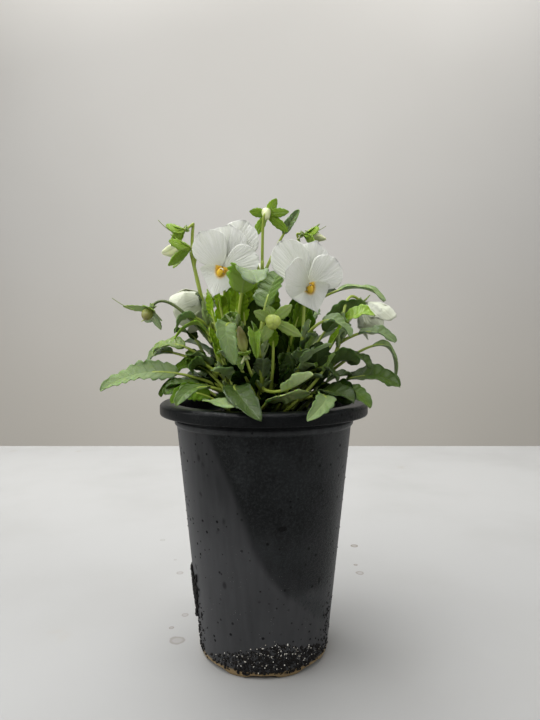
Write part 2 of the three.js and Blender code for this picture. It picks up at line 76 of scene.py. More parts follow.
class Form:
    """One piece while it is being shaped: its points in millimetres, its faces and its marks."""

    def __init__(self):
        self.points, self.faces, self.marks, self.count = [], [], [], 0

    def add(self, points, faces, **marks):
        points = np.asarray(points, float).reshape(-1, 3)
        self.points.append(points)
        self.faces.append(np.asarray(faces) + self.count)
        self.marks.append({k: np.broadcast_to(np.ravel(v), len(points)) for k, v in marks.items()})
        self.count += len(points)

    def mesh(self, name):
        made = bpy.data.meshes.new(name)
        faces = [face for group in self.faces for face in group.tolist()]
        made.from_pydata(np.concatenate(self.points) * MM, [], faces)
        for mark in sorted({k for marks in self.marks for k in marks}):
            parts = [m.get(mark, np.zeros(len(p))) for m, p in zip(self.marks, self.points)]
            values = np.concatenate(parts).astype(np.float32)
            made.attributes.new(mark, "FLOAT", "POINT").data.foreach_set("value", values)
        made.shade_smooth()
        made.update()
        return made

    def place(self, name, finish, slot, *nodes):
        """Makes the piece, which rides on the one body and stands for the named CAD nodes."""
        piece = bpy.data.objects.new(name, self.mesh(name))
        piece.data.materials.append(finish)
        bpy.context.scene.collection.objects.link(piece)
        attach(piece, "root")
        if nodes:
            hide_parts(*nodes)
        return piece


def grid_faces(rows, columns, closed=False):
    """The four-sided faces between the points of a grid, closed round its rows or not."""
    at = np.arange(rows * columns).reshape(rows, columns)
    if closed:
        at = np.hstack([at, at[:, :1]])
    corners = [at[:-1, :-1], at[1:, :-1], at[1:, 1:], at[:-1, 1:]]
    return np.stack(corners, -1).reshape(-1, 4)


def rounded(corners, radius, steps=4):
    """An outline with each of its corners replaced by a small arc."""
    corners = np.array(corners, float)
    line = [corners[0]]
    for before, corner, after in zip(corners, corners[1:], corners[2:]):
        arms = []
        for end in (before, after):
            arm = end - corner
            length = np.linalg.norm(arm)
            arms.append(corner + arm / length * min(radius, 0.45 * length))
        for t in np.linspace(0, 1, steps + 1):
            line.append(arms[0] * (1 - t) ** 2 + corner * 2 * t * (1 - t) + arms[1] * t * t)
    line.append(corners[-1])
    return np.array(line)


def ringed_solid(form, rings, ends, sides, **marks):
    """A closed solid of rings of points, whose first and last ring each fan in to an end point."""
    rings = np.vstack(rings)
    count = len(rings)
    around = np.arange(sides)
    after = (around + 1) % sides
    last = count - sides
    low_fan = np.stack([np.full(sides, count), after, around], -1)
    high_fan = np.stack([np.full(sides, count + 1), last + around, last + after], -1)
    form.add(np.vstack([rings, ends]), grid_faces(count // sides, sides, closed=True)[:, ::-1], **marks)
    form.faces.append(low_fan + form.count - count - 2)
    form.faces.append(high_fan + form.count - count - 2)


def turned(form, outline, sides, shape=None, at=(0, 0, 0)):
    """A closed solid turned about +Z from an outline that starts and ends on the axis."""
    outline = np.array(outline, float)
    turns = np.linspace(0, 2 * np.pi, sides, endpoint=False)
    r = np.repeat(outline[1:-1, :1], sides, 1)
    z = np.repeat(outline[1:-1, 1:], sides, 1)
    if shape:
        r, z = shape(r, z, np.broadcast_to(turns, r.shape))
    rings = np.stack([r * np.cos(turns), r * np.sin(turns), z], -1) + at
    ends = np.array([[0, 0, outline[0, 1]], [0, 0, outline[-1, 1]]]) + at
    ringed_solid(form, rings, ends, sides)


def pot_outline():
    """The pot's section: from under its foot up the outside, over the rim and down the inside."""
    collar_foot = POT_HEIGHT - COLLAR_DROP
    under_rim = POT_HEIGHT - RIM_THICK
    wall_top = outer_wall(POT_HEIGHT)
    bead = outer_wall(BEAD) + BEAD_PROUD
    outside = [(outer_wall(z), z) for z in reversed(SECTION_HEIGHTS)]
    inside = [(outer_wall(z) - WALL, z) for z in SECTION_HEIGHTS]
    return [
        (RECESS_INNER, 0), (RECESS_INNER + 1.5, RECESS_DEPTH), (RECESS_OUTER - 1.5, RECESS_DEPTH),
        (RECESS_OUTER, 0), (FOOT_RADIUS - 0.6, 0), (FOOT_RADIUS, 1.5), (outer_wall(3), 3), *outside,
        (bead - 0.1, BEAD + 0.8), (bead, BEAD + 3), (outer_wall(BEAD + 4), BEAD + 3.8),
        (outer_wall(under_rim), under_rim), (RIM_RADIUS - 1.5, under_rim), (RIM_RADIUS - 1.2, collar_foot),
        (RIM_RADIUS - 0.3, collar_foot), (RIM_RADIUS, collar_foot + 0.8), (RIM_RADIUS, POT_HEIGHT - 1.4),
        (RIM_RADIUS - 1.6, POT_HEIGHT), (wall_top - 0.4, POT_HEIGHT), (wall_top - WALL, under_rim),
        *inside, (outer_wall(FLOOR_TOP) - WALL, FLOOR_TOP),
    ]


def arched_foot(r, z, turn):
    """Lifts the foot ring into shallow arches."""
    step = 2 * np.pi / ARCHES
    off = r * np.sin((turn + np.pi / 2 + step / 2) % step - step / 2)
    arch = ARCH_HEIGHT * smooth_step(ARCH_HALF, ARCH_HALF - ARCH_SHOULDER, np.abs(off))
    return r, np.where(r > RECESS_OUTER - 0.5, np.maximum(z, arch), z)


def cut(piece, tool_form):
    """Takes the tool's solids out of the piece."""
    tool = bpy.data.objects.new("cutter", tool_form.mesh("cutter"))
    bpy.context.scene.collection.objects.link(tool)
    drilled = piece.modifiers.new("drilled", "BOOLEAN")
    drilled.object = tool
    drilled.solver = "EXACT"
    bpy.context.view_layer.update()
    drilled_piece = piece.evaluated_get(bpy.context.evaluated_depsgraph_get())
    piece_data = bpy.data.meshes.new_from_object(drilled_piece)
    piece.modifiers.clear()
    piece.data = piece_data
    bpy.data.objects.remove(tool)


class Value:
    """One output of a finish's node. Arithmetic on it adds Math nodes."""

    def __init__(self, finish, output):
        self.finish, self.output = finish, output

    def maths(self, operation, *inputs):
        return self.finish.node("Math", {"operation": operation}, dict(enumerate(inputs)))

    def __add__(self, other):
        return self.maths("ADD", self, other)

    def __radd__(self, other):
        return self.maths("ADD", other, self)

    def __sub__(self, other):
        return self.maths("SUBTRACT", self, other)

    def __rsub__(self, other):
        return self.maths("SUBTRACT", other, self)

    def __mul__(self, other):
        return self.maths("MULTIPLY", self, other)

    def __rmul__(self, other):
        return self.maths("MULTIPLY", other, self)

    def larger(self, other):
        return self.maths("MAXIMUM", self, other)

    def magnitude(self):
        return self.maths("ABSOLUTE", self)

    def off_half(self):
        """How far the value's fraction lies from a half, so 0.5 at each whole number."""
        return (self.maths("FRACT", self) - 0.5).magnitude()

    def step(self, low, high):
        """0 below low, 1 above high and smooth between them, or the reverse if low is above high."""
        if low > high:
            return 1 - self.step(high, low)
        settings = {"interpolation_type": "SMOOTHSTEP", "clamp": True}
        return self.finish.node("MapRange", settings, {0: self, 1: low, 2: high})


class Finish:
    """A material while it is being mixed."""

    def __init__(self, name, **uniform):
        self.material = bpy.data.materials.new(name)
        self.material.use_nodes = True
        self.tree = self.material.node_tree
        self.surface = self.tree.nodes["Principled BSDF"]
        for socket, value in uniform.items():
            self.surface.inputs[socket.replace("_", " ")].default_value = value

    def feed(self, socket, value):
        if isinstance(value, Value):
            self.tree.links.new(value.output, socket)
        else:
            socket.default_value = value

    def node(self, kind, settings=(), inputs=(), output=0):
        """Adds a node: its settings first, then the values or links of its sockets."""
        made = self.tree.nodes.new("ShaderNode" + kind)
        for name, value in dict(settings).items():
            setattr(made, name, value)
        for name, value in dict(inputs).items():
            self.feed(made.inputs[name], value)
        return Value(self, made.outputs[output])

    def mark(self, name):
        """A mark that the piece's points carry."""
        return self.node("Attribute", {"attribute_name": name}, output="Fac")

    def spot(self):
        """The point's place on the object, in metres."""
        return self.node("TexCoord", output="Object")

    def stretched(self, x, y, z):
        return self.node("Mapping", {}, {"Vector": self.spot(), "Scale": (x, y, z)})

    def noise(self, scale, detail, where=None, roughness=0.5):
        inputs = {"Scale": scale, "Detail": detail, "Roughness": roughness, "Vector": where or self.spot()}
        return self.node("TexNoise", {}, inputs)

    def cells(self, scale, where=None, feature="F1"):
        """How far each point is from the middle, or the edge, of its cell."""
        inputs = {"Scale": scale, "Vector": where or self.spot()}
        return self.node("TexVoronoi", {"feature": feature}, inputs, "Distance")

    def colour(self, share, low, high):
        """The colour low where share is 0 and high where it is 1."""
        low, high = (c if isinstance(c, Value) else (*c, 1) for c in (low, high))
        return self.node("Mix", {"data_type": "RGBA"}, {0: share, 6: low, 7: high}, output=2)

    def bump(self, height, distance, strength=1.0):
        return self.node("Bump", {}, {"Height": height, "Distance": distance * MM, "Strength": strength})

    def wear(self, **varying):
        for socket, value in varying.items():
            self.feed(self.surface.inputs[socket.replace("_", " ")], value)
        return self.material


def black_plastic():
    """Semi-matt black plastic with a dusty layer low down and on one side, which is also a painted
    reflection of the bright room and the table there, fine droplets where it is damp with their glints
    painted in, a painted highlight on the bead, splashes, and a brown water line round the foot."""
    finish = Finish("black_plastic", Specular_IOR_Level=0.13)
    spot = finish.spot()
    x, y, z = (finish.node("SeparateXYZ", {}, {0: spot}, output=i) for i in range(3))
    turn = x.maths("ARCTAN2", x, 0 - y)  # 0 at the front, growing to the right
    streaks = finish.noise(260, 3, finish.stretched(1, 1, 0.12))
    clouds = finish.noise(28, 4)

    # The dust lies where the wall is dry, and the same layer is a painted reflection of the bright room on
    # the left and of the table low down. Its edge with the damp runs down in a slant, as the edge of that
    # painted reflection.
    low = (0.07 - z).larger(0.0)
    damp = turn + 0.07 + (z - 0.07) * 8.7 - low * low * 288 + (clouds - 0.5) * 0.2  # above 0 where damp
    dry = damp.step(0.08, -0.06).larger(z.step(0.050, 0.042))
    behind = turn.magnitude().step(1.6, 2.6)
    below_collar = z.step(0.137, 0.132)
    # painted reflection: the dust layer is made heavier on the left side and low down, where the bright room
    # and the table are mirrored
    dust_and_reflection = dry * (0.42 + turn.step(-0.7, -1.3) * 0.4) + damp.step(1.0, 1.4) * 0.4
    dust_and_reflection = dust_and_reflection * (1 - behind) + behind * 0.35 + z.step(0.11, 0.05) * 0.25
    dust_and_reflection = (dust_and_reflection + streaks * 0.35 + clouds * 0.45 - 0.3) * below_collar

    # On the damp wall stand fine droplets, whose glints are painted into the colour as a lighter speckle.
    # Splashes of mud and a scar are matt and darker.
    stipple = finish.noise(680, 3, roughness=0.7).step(0.44, 0.66) * damp.step(-0.02, 0.08)
    mist = finish.noise(60, 4).step(0.42, 0.68) * damp.step(0.0, 0.15)
    scar_turn, scar_rise = turn - 0.217, z - 0.0832  # one dark scar, right of the middle
    scar = scar_turn * scar_turn * 350 + scar_rise * scar_rise * 500000
    blots = finish.cells(95, finish.stretched(1, 1, 0.6)).step(0.17, 0.05)
    blots = blots * finish.noise(70, 2).step(0.46, 0.54) * 0.6
    specks = finish.cells(210).step(0.21, 0.12) * finish.noise(45, 3).step(0.45, 0.54)
    specks = specks.larger(blots).larger(scar.step(1.3, 0.7) * 0.9)
    pale_specks = finish.cells(620).step(0.1, 0.06) * finish.noise(90, 1).step(0.5, 0.6) * z.step(0.12, 0.02)
    droplets = finish.cells(1500).step(0.42, 0.1) * damp.step(0.0, 0.1) * z.step(0.03, 0.06)

    # the pale colour is dust and painted reflection at once
    base = finish.colour(dust_and_reflection.step(0, 1.1), (0.0033, 0.0040, 0.0044), (0.059, 0.060, 0.063))
    # painted highlights: where the droplets' speckle lies the colour is painted lighter as their glints, and
    # the mist lightens it too
    base = finish.colour((stipple * 0.6 + mist * 0.4) * below_collar, base, (0.022, 0.025, 0.026))
    # painted highlight: the bead under the collar is painted paler along its ridge
    bead = z.step(BEAD * MM, (BEAD + 1.5) * MM) * z.step((BEAD + 4.2) * MM, (BEAD + 3.3) * MM)
    base = finish.colour(bead * (0.2 + streaks * 0.8), base, (0.060, 0.063, 0.065))
    base = finish.colour(specks * 0.9, base, (0.002, 0.002, 0.002))
    base = finish.colour(pale_specks * 0.5, base, (0.4, 0.39, 0.36))
    water_line = z.step(WATER_LINE_TOP * MM, WATER_LINE * MM) * 0.85
    base = finish.colour(water_line, base, (0.30, 0.21, 0.10))
    rough = 0.29 + dust_and_reflection * 0.14 + clouds * 0.06 + specks * 0.4
    grain = streaks * 0.3 + droplets * 2.2 + stipple * 1.2 + finish.noise(1300, 3) * 0.5 - specks * 0.8
    return finish.wear(Base_Color=base, Roughness=rough, Normal=finish.bump(grain, 0.12, 0.6))


def pot_shell():
    form = Form()
    outline = [(0, 0), *rounded(pot_outline(), CORNER_RADIUS), (0, FLOOR_TOP)]
    turned(form, outline, POT_SIDES, arched_foot)
    pot = form.place("pot_shell", black_plastic(), "black_plastic", "pot")
    drains = Form()
    drill = [(0, 1), (DRAIN_RADIUS, 1), (DRAIN_RADIUS, FLOOR_TOP + 2), (0, FLOOR_TOP + 2)]
    for k in range(ARCHES):
        turn = 2 * math.pi * k / ARCHES
        turned(drains, drill, DRAIN_SIDES, at=(DRAIN_RING * math.sin(turn), DRAIN_RING * math.cos(turn), 0))
    cut(pot, drains)
    pot.data.set_sharp_from_angle(angle=math.radians(SHARPEST_SMOOTHED))


pot_shell()


# ---------------------------------------------------------------- potting mix
# Crumbled peat and bark with white grains of perlite fills the pot to a finger's breadth below the
# rim. Damp crumbs of it also cling to the outside of the pot, low at the front and up one side.

MIX_EDGE, MIX_MOUND = 132, 4
MIX_GAP = 0.6  # between the mix and the wall
BED_CRUMBS, PERLITE_EVERY = 900, 13
MIX_RADIUS = outer_wall(MIX_EDGE) - WALL - MIX_GAP


def unit_lump():
    """Points and faces of a ball with 42 points, which every crumb starts from."""
    ball = bmesh.new()
    bmesh.ops.create_icosphere(ball, subdivisions=2, radius=1)
    ball.verts.index_update()
    points = np.array([corner.co for corner in ball.verts])
    faces = np.array([[corner.index for corner in face.verts] for face in ball.faces])
    ball.free()
    return points, faces


LUMP_POINTS, LUMP_FACES = unit_lump()


def crumb(form, draw, middle, size, out=(0, 0, 1), flat=0.7):
    """A rough lump, a little flattened along `out`."""
    out = np.array(out, float) / np.linalg.norm(out)
    points = LUMP_POINTS * draw.uniform(0.7, 1.25, (len(LUMP_POINTS), 1)) * draw.uniform(0.7, 1.2, 3)
    points -= np.outer(points @ out, out) * (1 - flat)
    form.add(np.array(middle) + points * size, LUMP_FACES)


def crumbled_top(r, z, turn):
    """Raises the top of the mix into a low uneven mound."""
    x, y = r * np.cos(turn), r * np.sin(turn)
    share = r / MIX_RADIUS
    waves = 0.9 * np.sin(0.61 * x + 1.3) * np.cos(0.53 * y) + 0.6 * np.sin(0.97 * y - 0.41 * x)
    waves += 0.35 * np.sin(2.3 * x + 0.7 * y) * np.sin(1.9 * y - 0.3)
    top = z + (MIX_MOUND * (1 - share**2) + waves) * smooth_step(1.0, 0.97, share)
    return r, np.where(z >= MIX_EDGE, top, z)


def moist_mix(name, wet):
    """Dark brown peat with paler fibres, nearly black where it is wet."""
    finish = Finish(name, Specular_IOR_Level=0.3)
    clumps = finish.noise(420, 4)
    fibres = finish.noise(1400, 3)
    base = finish.colour(clumps.step(0.35, 0.7), (0.006, 0.0045, 0.0035), (0.028, 0.018, 0.011))
    base = finish.colour(fibres.step(0.62, 0.75) * 0.5, base, (0.11, 0.07, 0.035))
    base = finish.colour(wet, base, (0.003, 0.003, 0.003))
    return finish.wear(Base_Color=base, Roughness=0.62 + fibres * 0.35, Normal=finish.bump(fibres, 0.4))


def white_perlite():
    """Chalky white grains, full of pores and stained by the peat."""
    finish = Finish("white_perlite")
    pores = finish.cells(2600)
    stains = finish.noise(500, 2)
    base = finish.colour(stains.step(0.35, 0.65), (0.78, 0.76, 0.70), (0.42, 0.38, 0.31))
    return finish.wear(Base_Color=base, Roughness=0.8 + pores * 0.15, Normal=finish.bump(pores, 0.15))


def potting_mix():
    """The plug of mix, with crumbs and white grains strewn over its top."""
    draw = np.random.default_rng(5)
    plug, grains = Form(), Form()
    foot = outer_wall(FLOOR_TOP) - WALL - MIX_GAP
    rings = [(r, MIX_EDGE) for r in np.linspace(MIX_RADIUS, 0.6, 44)]
    outline = [(0, FLOOR_TOP + 0.3), (foot, FLOOR_TOP + 0.3), *rings, (0, MIX_EDGE + MIX_MOUND)]
    turned(plug, outline, 120, crumbled_top)
    for k in range(BED_CRUMBS):
        r = MIX_RADIUS * math.sqrt(draw.uniform(0, 0.96))
        turn = draw.uniform(0, 2 * math.pi)
        height = crumbled_top(np.array(r), np.array(MIX_EDGE), np.array(turn))[1]
        middle = [r * math.cos(turn), r * math.sin(turn), float(height) + 0.1]
        white = k % PERLITE_EVERY == 0
        size = draw.uniform(0.5, 1.1) if white else draw.uniform(0.5, 1.7)
        crumb(grains if white else plug, draw, middle, size)
    plug.place("potting_mix_bed", MOIST_MIX, "potting_mix", "potting_mix")
    grains.place("perlite_in_bed", PERLITE, "potting_mix")


def clinging_mix():
    """Crumbs stuck to the outside of the wall, each place as a turn from the front and a height."""
    draw = np.random.default_rng(11)
    dark, white = Form(), Form()

    def stick(form, turn, z, size, proud=0.25):
        azimuth = math.radians(turn - 90)
        out = np.array([math.cos(azimuth), math.sin(azimuth), -WALL_SLOPE])
        arch = arched_foot(np.array([FOOT_RADIUS]), np.array([0.0]), np.array([azimuth]))[1][0]
        if z > max(2.4, arch + size + 0.6):
            middle = out * [outer_wall(z), outer_wall(z), 0] + [0, 0, z]
            crumb(form, draw, middle + out * size * proud, size, out, 0.55)

    for _ in range(1100):  # the band low at the front
        turn = draw.normal(10, 24)
        z = 1 + 20 * draw.beta(1.4, 1.5) * (1 - 0.45 * abs(turn - 10) / 45)
        stick(dark, turn, z, draw.uniform(0.25, 0.75) * (1.15 - z / 50))
    for _ in range(170):  # white grains in the same band
        turn = draw.normal(8, 23)
        z = 4 + 18 * draw.beta(1.5, 1.3) * (1 - 0.5 * abs(turn - 9) / 40)
        stick(white, turn, z, 0.13 + 0.30 * draw.uniform() ** 2, 0.9)
    for _ in range(260):  # the smear up the left side
        z = draw.normal(38, 5.5)
        stick(dark, -76 + draw.normal(0, 6) * (1 - abs(z - 38) / 40), z, draw.uniform(0.6, 1.5), 0.4)
    for _ in range(110):  # below the smear
        stick(dark, -72 + draw.normal(0, 9), 3 + 30 * draw.uniform() ** 1.6, draw.uniform(0.25, 0.8))
    for _ in range(70):  # up the right side
        stick(dark, 64 + draw.normal(0, 8), draw.uniform(3, 34), draw.uniform(0.25, 0.6))
    for _ in range(170):  # strays all round
        stick(dark, draw.uniform(-180, 180), draw.uniform(3, 120), draw.uniform(0.15, 0.42))
    dark.place("mix_on_wall", WET_MIX, "potting_mix")
    white.place("perlite_on_wall", PERLITE, "potting_mix")


MOIST_MIX = moist_mix("moist_mix", 0.0)
WET_MIX = moist_mix("wet_mix", 0.8)
PERLITE = white_perlite()
potting_mix()
clinging_mix()


# ---------------------------------------------------------------- leafy stems
# Eight soft angled stems rise from the crown. Each carries stalked leaves with a pair of cut
# stipules at their foot, and thin flower stalks that bend over at the top.

STEM_RADIUS, STEM_TIP_RADIUS = 1.5, 0.95
STEM_JOINTS = 5.3
STALK_RADIUS, STALK_TIP_RADIUS = 0.95, 0.75
CALYX_BACK = -3  # how far the sepals stand behind the throat
UP = np.array([0.0, 0.0, 1.0])

# Each stem has the path it grows along, leaves that start at a share of the path and go by way of a
# bend to a tip, small leaves set by rule, and flower stalks. `tone` runs from -1, dark blue-green, to
# 1, yellow-green, and `pale` shows a leaf's waxy underside colour, which on an upper face also stands
# for a painted grey-blue sheen.
STEMS = {
    "left": {
        "path": [(-11, -2, 126), (-29, -6, 170), (-42, -3, 230)],
        "leaves": [
            dict(start=0.26, over=(-63, -11, 172), tip=(-94, -6, 150), wide=18, roll=-42,
                 bare=0.36, tone=0.1, pale=0.6, teeth=9, bite=0.36),
            dict(start=0.32, over=(-49, -2, 187), tip=(-66, 4, 172), wide=14, roll=-30,
                 bare=0.5, tone=0.5, pale=0.5),
            dict(start=0.36, over=(-66, 3, 182), tip=(-69, 8, 165), wide=11, roll=-40,
                 bare=0.45, tone=0.2, pale=0.7),
            dict(start=0.2, over=(-40, 4, 160), tip=(-61, 11, 148), wide=15, roll=-20, bare=0.35, tone=-0.5),
            dict(start=0.24, over=(-44, -10, 160), tip=(-55, -16, 149), wide=14, roll=-25,
                 bare=0.4, tone=-0.4),
            dict(start=0.62, over=(-46, -8, 200), tip=(-50, -10, 184), wide=9, roll=20, bare=0.3),
        ],
        "small": dict(count=3, azimuth=172, spread=14, reach=26, start=0.34, end=0.66, low=30),
        "stalks": [
            dict(start=0.97, over=(-42, -3, 252), at=(-48, -5, 241), bears="nothing", face=(180, -25),
                 open=38, length=13, broad=6.5),
            dict(start=0.93, over=(-38, -3, 238), at=(-44, -8, 231), bears="bud", face=(184, -10),
                 open=40, length=18, broad=5.8, long=15, wide=9),
            dict(start=0.5, over=(-50, -9, 204), at=(-65, -10, 195), bears="capsule", face=(214, -58),
                 open=62, length=14, broad=6.5, radius=3.4, old=True,
                 sepals={45: 1.2, 112: 1.1, 155: 1.15, 215: 0.75, 300: 0.6}),
        ],
    },
    "front_left": {
        "path": [(-8, -8, 126), (-16, -20, 160), (-14, -28, 186)],
        "leaves": [
            dict(start=0.9, over=(-10, -30, 231), tip=(-3, -52, 207), wide=21, roll=-4, fold=8,
                 tone=-0.35, pale=1, fullness=0.42, backlit=1),
            dict(start=1, over=(-24, -44, 194), tip=(-14, -47, 167), wide=12, roll=-10,
                 bare=0.2, tone=0.1, pale=0.4),
            dict(start=0.42, over=(-21, -44, 160), tip=(-1, -64, 141.5), wide=15, roll=10,
                 tone=-0.7, bite=0.12),
            dict(start=0.3, over=(-38, -26, 162), tip=(-43, -48, 146.5), wide=10, roll=-20,
                 bare=0.4, tone=-0.45),
            dict(start=0.25, over=(-42, -28, 150), tip=(-13, -57, 147.5), wide=11, roll=10, fold=8,
                 bare=0.4, tone=0.2, pale=0.7),
            dict(start=0.35, over=(-12, -11, 166), tip=(-9, -12, 178), wide=14),
        ],
        "small": dict(count=4, azimuth=222, spread=12, reach=26, start=0.34, end=0.8, low=35, high=75),
        "stalks": [
            dict(start=0.6, over=(-28, -1, 200), at=(-22.5, -20, 217.5), bears="bloom",
                 face=(258, -4, -18), open=108, length=9),
        ],
    },
    "front": {
        "path": [(0, -11, 126), (-1, -24, 150), (-2, -28, 178)],
        "leaves": [
            dict(start=0.85, over=(-6, -44, 196), tip=(-3, -45, 170), wide=9, fold=40, bare=0.25, tone=0.5),
            dict(start=0.55, over=(6, -50, 149), tip=(25, -47, 162), wide=12, fold=55,
                 bare=0.52, tone=0.5, pale=0.9),
            dict(start=0.3, over=(0, -62, 152), tip=(24, -38, 152), wide=12, roll=160, fold=10,
                 bare=0.35, tone=0.9, pale=1),
            dict(start=1, over=(0, -20, 204), tip=(9, -10, 218), wide=20, bare=0.4, tone=0.1),
        ],
        "small": dict(count=2, azimuth=268, spread=12, reach=20, start=0.5, end=0.8,
                      low=65, high=78, wide=11),
        "stalks": [
            dict(start=0.95, over=(0, -26, 200), at=(5, -36, 189), bears="capsule", face=(270, -10, 20),
                 open=78, length=14, broad=5, wild=2.5,
                 sepals={0: 0.55, 40: 0.85, 138: 0.95, 225: 1.35, 292: 0.95}),
            dict(start=0.5, over=(-6, -30, 160), at=(-10, -33, 174), bears="bud", face=(215, 75),
                 open=50, length=5, long=14, wide=6, withered=True),
        ],
    },
    "front_right": {
        "path": [(8, -8, 126), (19, -20, 155), (22, -22, 185)],
        "leaves": [
            dict(start=0.9, over=(36, -24, 200), tip=(46, -30, 181), wide=14, roll=20,
                 bare=0.4, tone=-0.2, pale=0.55),
            dict(start=0.6, over=(20, -38, 172), tip=(35, -38, 177), wide=9),
            dict(start=0.3, over=(46, -34, 158), tip=(21, -64, 141.5), wide=11, roll=-20,
                 bare=0.42, tone=0.1, pale=0.6),
            dict(start=0.5, over=(34, -24, 172), tip=(40, -24, 157), wide=14, roll=10, bare=0.4, tone=-0.6),
            dict(start=0.3, over=(34, -26, 158), tip=(47, -36, 147), wide=17, roll=10, bare=0.4, tone=-0.7),
            dict(start=0.3, over=(12, -18, 160), tip=(10, -18, 172), wide=14, tone=-0.3),
        ],
        "small": dict(count=4, azimuth=312, spread=12, reach=25, start=0.36, end=0.7, low=30, high=55),
        "stalks": [
            dict(start=0.8, over=(24, -12, 204), at=(24, -24, 208), bears="bloom", face=(282, -2, 18),
                 open=108, length=9),
        ],
    },
    "right": {
        "path": [(11, -1, 126), (33, -8, 148), (46, -7, 185)],
        "leaves": [
            dict(start=0.4, over=(58, -12, 168), tip=(78, -6, 152.5), wide=18, roll=30, bare=0.35, tone=-0.4),
            dict(start=0.35, over=(46, -20, 162), tip=(57, -29, 143), wide=11, roll=20, bare=0.45, tone=-0.2),
            dict(start=0.6, over=(80, 0, 196), tip=(77, 2, 156), wide=11, roll=20,
                 bare=0.4, tone=0.3, pale=0.5),
            dict(start=0.9, over=(62, -12, 190), tip=(74, -11, 178), wide=13, roll=25, tone=-0.3, pale=0.5),
            dict(start=1, over=(50, -12, 198), tip=(62, -14, 193), wide=14, roll=30, bare=0.2, tone=0.9),
            dict(start=0.65, over=(50, -12, 178), tip=(60, -14, 164), wide=12, roll=20, bare=0.4, tone=-0.6),
        ],
        "small": dict(count=3, azimuth=352, spread=12, reach=24, start=0.45, end=0.85, low=25, high=60),
        "stalks": [
            dict(start=0.95, over=(46, 2, 206), at=(60, 10, 200), bears="young_bloom", face=(350, -50),
                 open=72, length=8),
        ],
    },
    "back_right": {
        "path": [(8, 7, 126), (24, 20, 165), (24, 18, 218)],
        "leaves": [
            dict(start=0.8, over=(56, 14, 222), tip=(73, 12, 203), wide=12, roll=20,
                 bare=0.35, tone=0.2, pale=0.7),
            dict(start=0.9, over=(28, 14, 226), tip=(40, 10, 214), wide=12, roll=20),
        ],
        "small": dict(count=8, azimuth=38, spread=26, reach=42, low=24, wide=18),
        "stalks": [
            dict(start=0.97, over=(24, 18, 246), at=(27, 16, 243), bears="bud", face=(352, -12),
                 open=40, length=14, broad=6.5, long=12, wide=6),
        ],
    },
    "back": {
        "path": [(0, 11, 126), (-2, 16, 170), (-1, 5, 226)],
        "leaves": [
            dict(start=0.9, over=(6, 10, 236), tip=(21, 10, 257), wide=7.5, roll=70, fold=36,
                 bare=0.66, tone=-0.2, pale=0.6, bite=0.1),
            dict(start=0.88, over=(-6, 0, 236), tip=(-14, 2, 234), wide=7, tone=0.6),
            dict(start=0.3, over=(-5, 14, 165), tip=(-7, 10, 185), wide=17, bare=0.35),
            dict(start=0.22, over=(7, 10, 160), tip=(9, 8, 178), wide=16, bare=0.35),
            dict(start=0.5, over=(5, 10, 186), tip=(5, 8, 201), wide=15, bare=0.35),
        ],
        "small": dict(count=8, azimuth=90, spread=26, reach=40, low=24, end=0.6),
        "stalks": [
            dict(start=0.98, over=(-1, 5, 252), at=(2, 7, 254), bears="bud", face=(80, 10, -10),
                 open=86, length=12.5, broad=4.6, wild=2, long=7, wide=5, spur=2.9,
                 sepals={46: 0.85, 100: 1.1, 138: 1.4, 224: 1.3, 284: 0.8}),
            dict(start=0.6, over=(-6, 8, 204), at=(-7, 20, 213), bears="young_bloom", face=(95, 20),
                 open=75, length=8),
        ],
    },
    "back_left": {
        "path": [(-8, 7, 126), (-24, 20, 160), (-32, 18, 190)],
        "leaves": [],
        "small": dict(count=8, azimuth=142, spread=26, reach=40, end=0.75, low=24, high=55, wide=18),
        "stalks": [
            dict(start=0.9, over=(-22, 16, 204), at=(-33, 8, 203), bears="young_bloom", face=(172, -26),
                 open=75, length=8, full=1.14),
        ],
    },
}


def unit(vectors):
    vectors = np.asarray(vectors, float)
    return vectors / np.maximum(np.linalg.norm(vectors, axis=-1, keepdims=True), 1e-9)


def bezier(controls, shares):
    """Points of the Bezier curve through these controls, at shares of its length."""
    shares = np.atleast_1d(np.asarray(shares, float))[:, None]
    rows = [np.array(c, float) for c in controls]
    while len(rows) > 1:
        rows = [a + (b - a) * shares for a, b in zip(rows, rows[1:])]
    return rows[0]


def tube(form, line, radii, sides, ridges=0.0, **marks):
    """A round stalk along a line of points, with domed ends and, if asked, low ridges."""
    line = np.asarray(line, float)
    ways = unit(np.gradient(line, axis=0))
    turns = np.linspace(0, 2 * np.pi, sides, endpoint=False)
    round_it = (1 + ridges * np.cos(4 * turns))[:, None]
    side = unit(np.cross(ways[0], [0.31, 0.2, 0.9]))
    rings = []
    for middle, way, radius in zip(line, ways, radii):
        side = unit(side - way * (side @ way))
        other = np.cross(way, side)
        out = np.outer(np.cos(turns), side) + np.outer(np.sin(turns), other)
        rings.append(middle + out * round_it * radius)
    ends = [line[0] - ways[0] * radii[0] * 0.4, line[-1] + ways[-1] * radii[-1] * 0.4]
    for mark, value in marks.items():
        along = np.broadcast_to(value, len(line))
        marks[mark] = np.append(np.repeat(along, sides), [along[0], along[-1]])
    ringed_solid(form, rings, ends, sides, **marks)


def direction(azimuth, pitch):
    """The unit vector with this azimuth and pitch, in radians."""
    level = math.cos(pitch)
    return np.array([level * math.cos(azimuth), level * math.sin(azimuth), math.sin(pitch)])


def facing(stalk):
    """Puts points where a stalk's flower is: +Z is the way that it faces, and +Y its upper side."""
    azimuth, pitch, roll = (math.radians(angle) for angle in (*stalk["face"], 0)[:3])
    out = direction(azimuth, pitch)
    right = unit(np.cross(UP, out))
    upper = np.cross(out, right)
    x = right * math.cos(roll) + upper * math.sin(roll)
    y = upper * math.cos(roll) - right * math.sin(roll)
    turn = np.stack([x, y, out], -1)
    return lambda points: np.asarray(points, float) @ turn.T + np.array(stalk["at"], float)


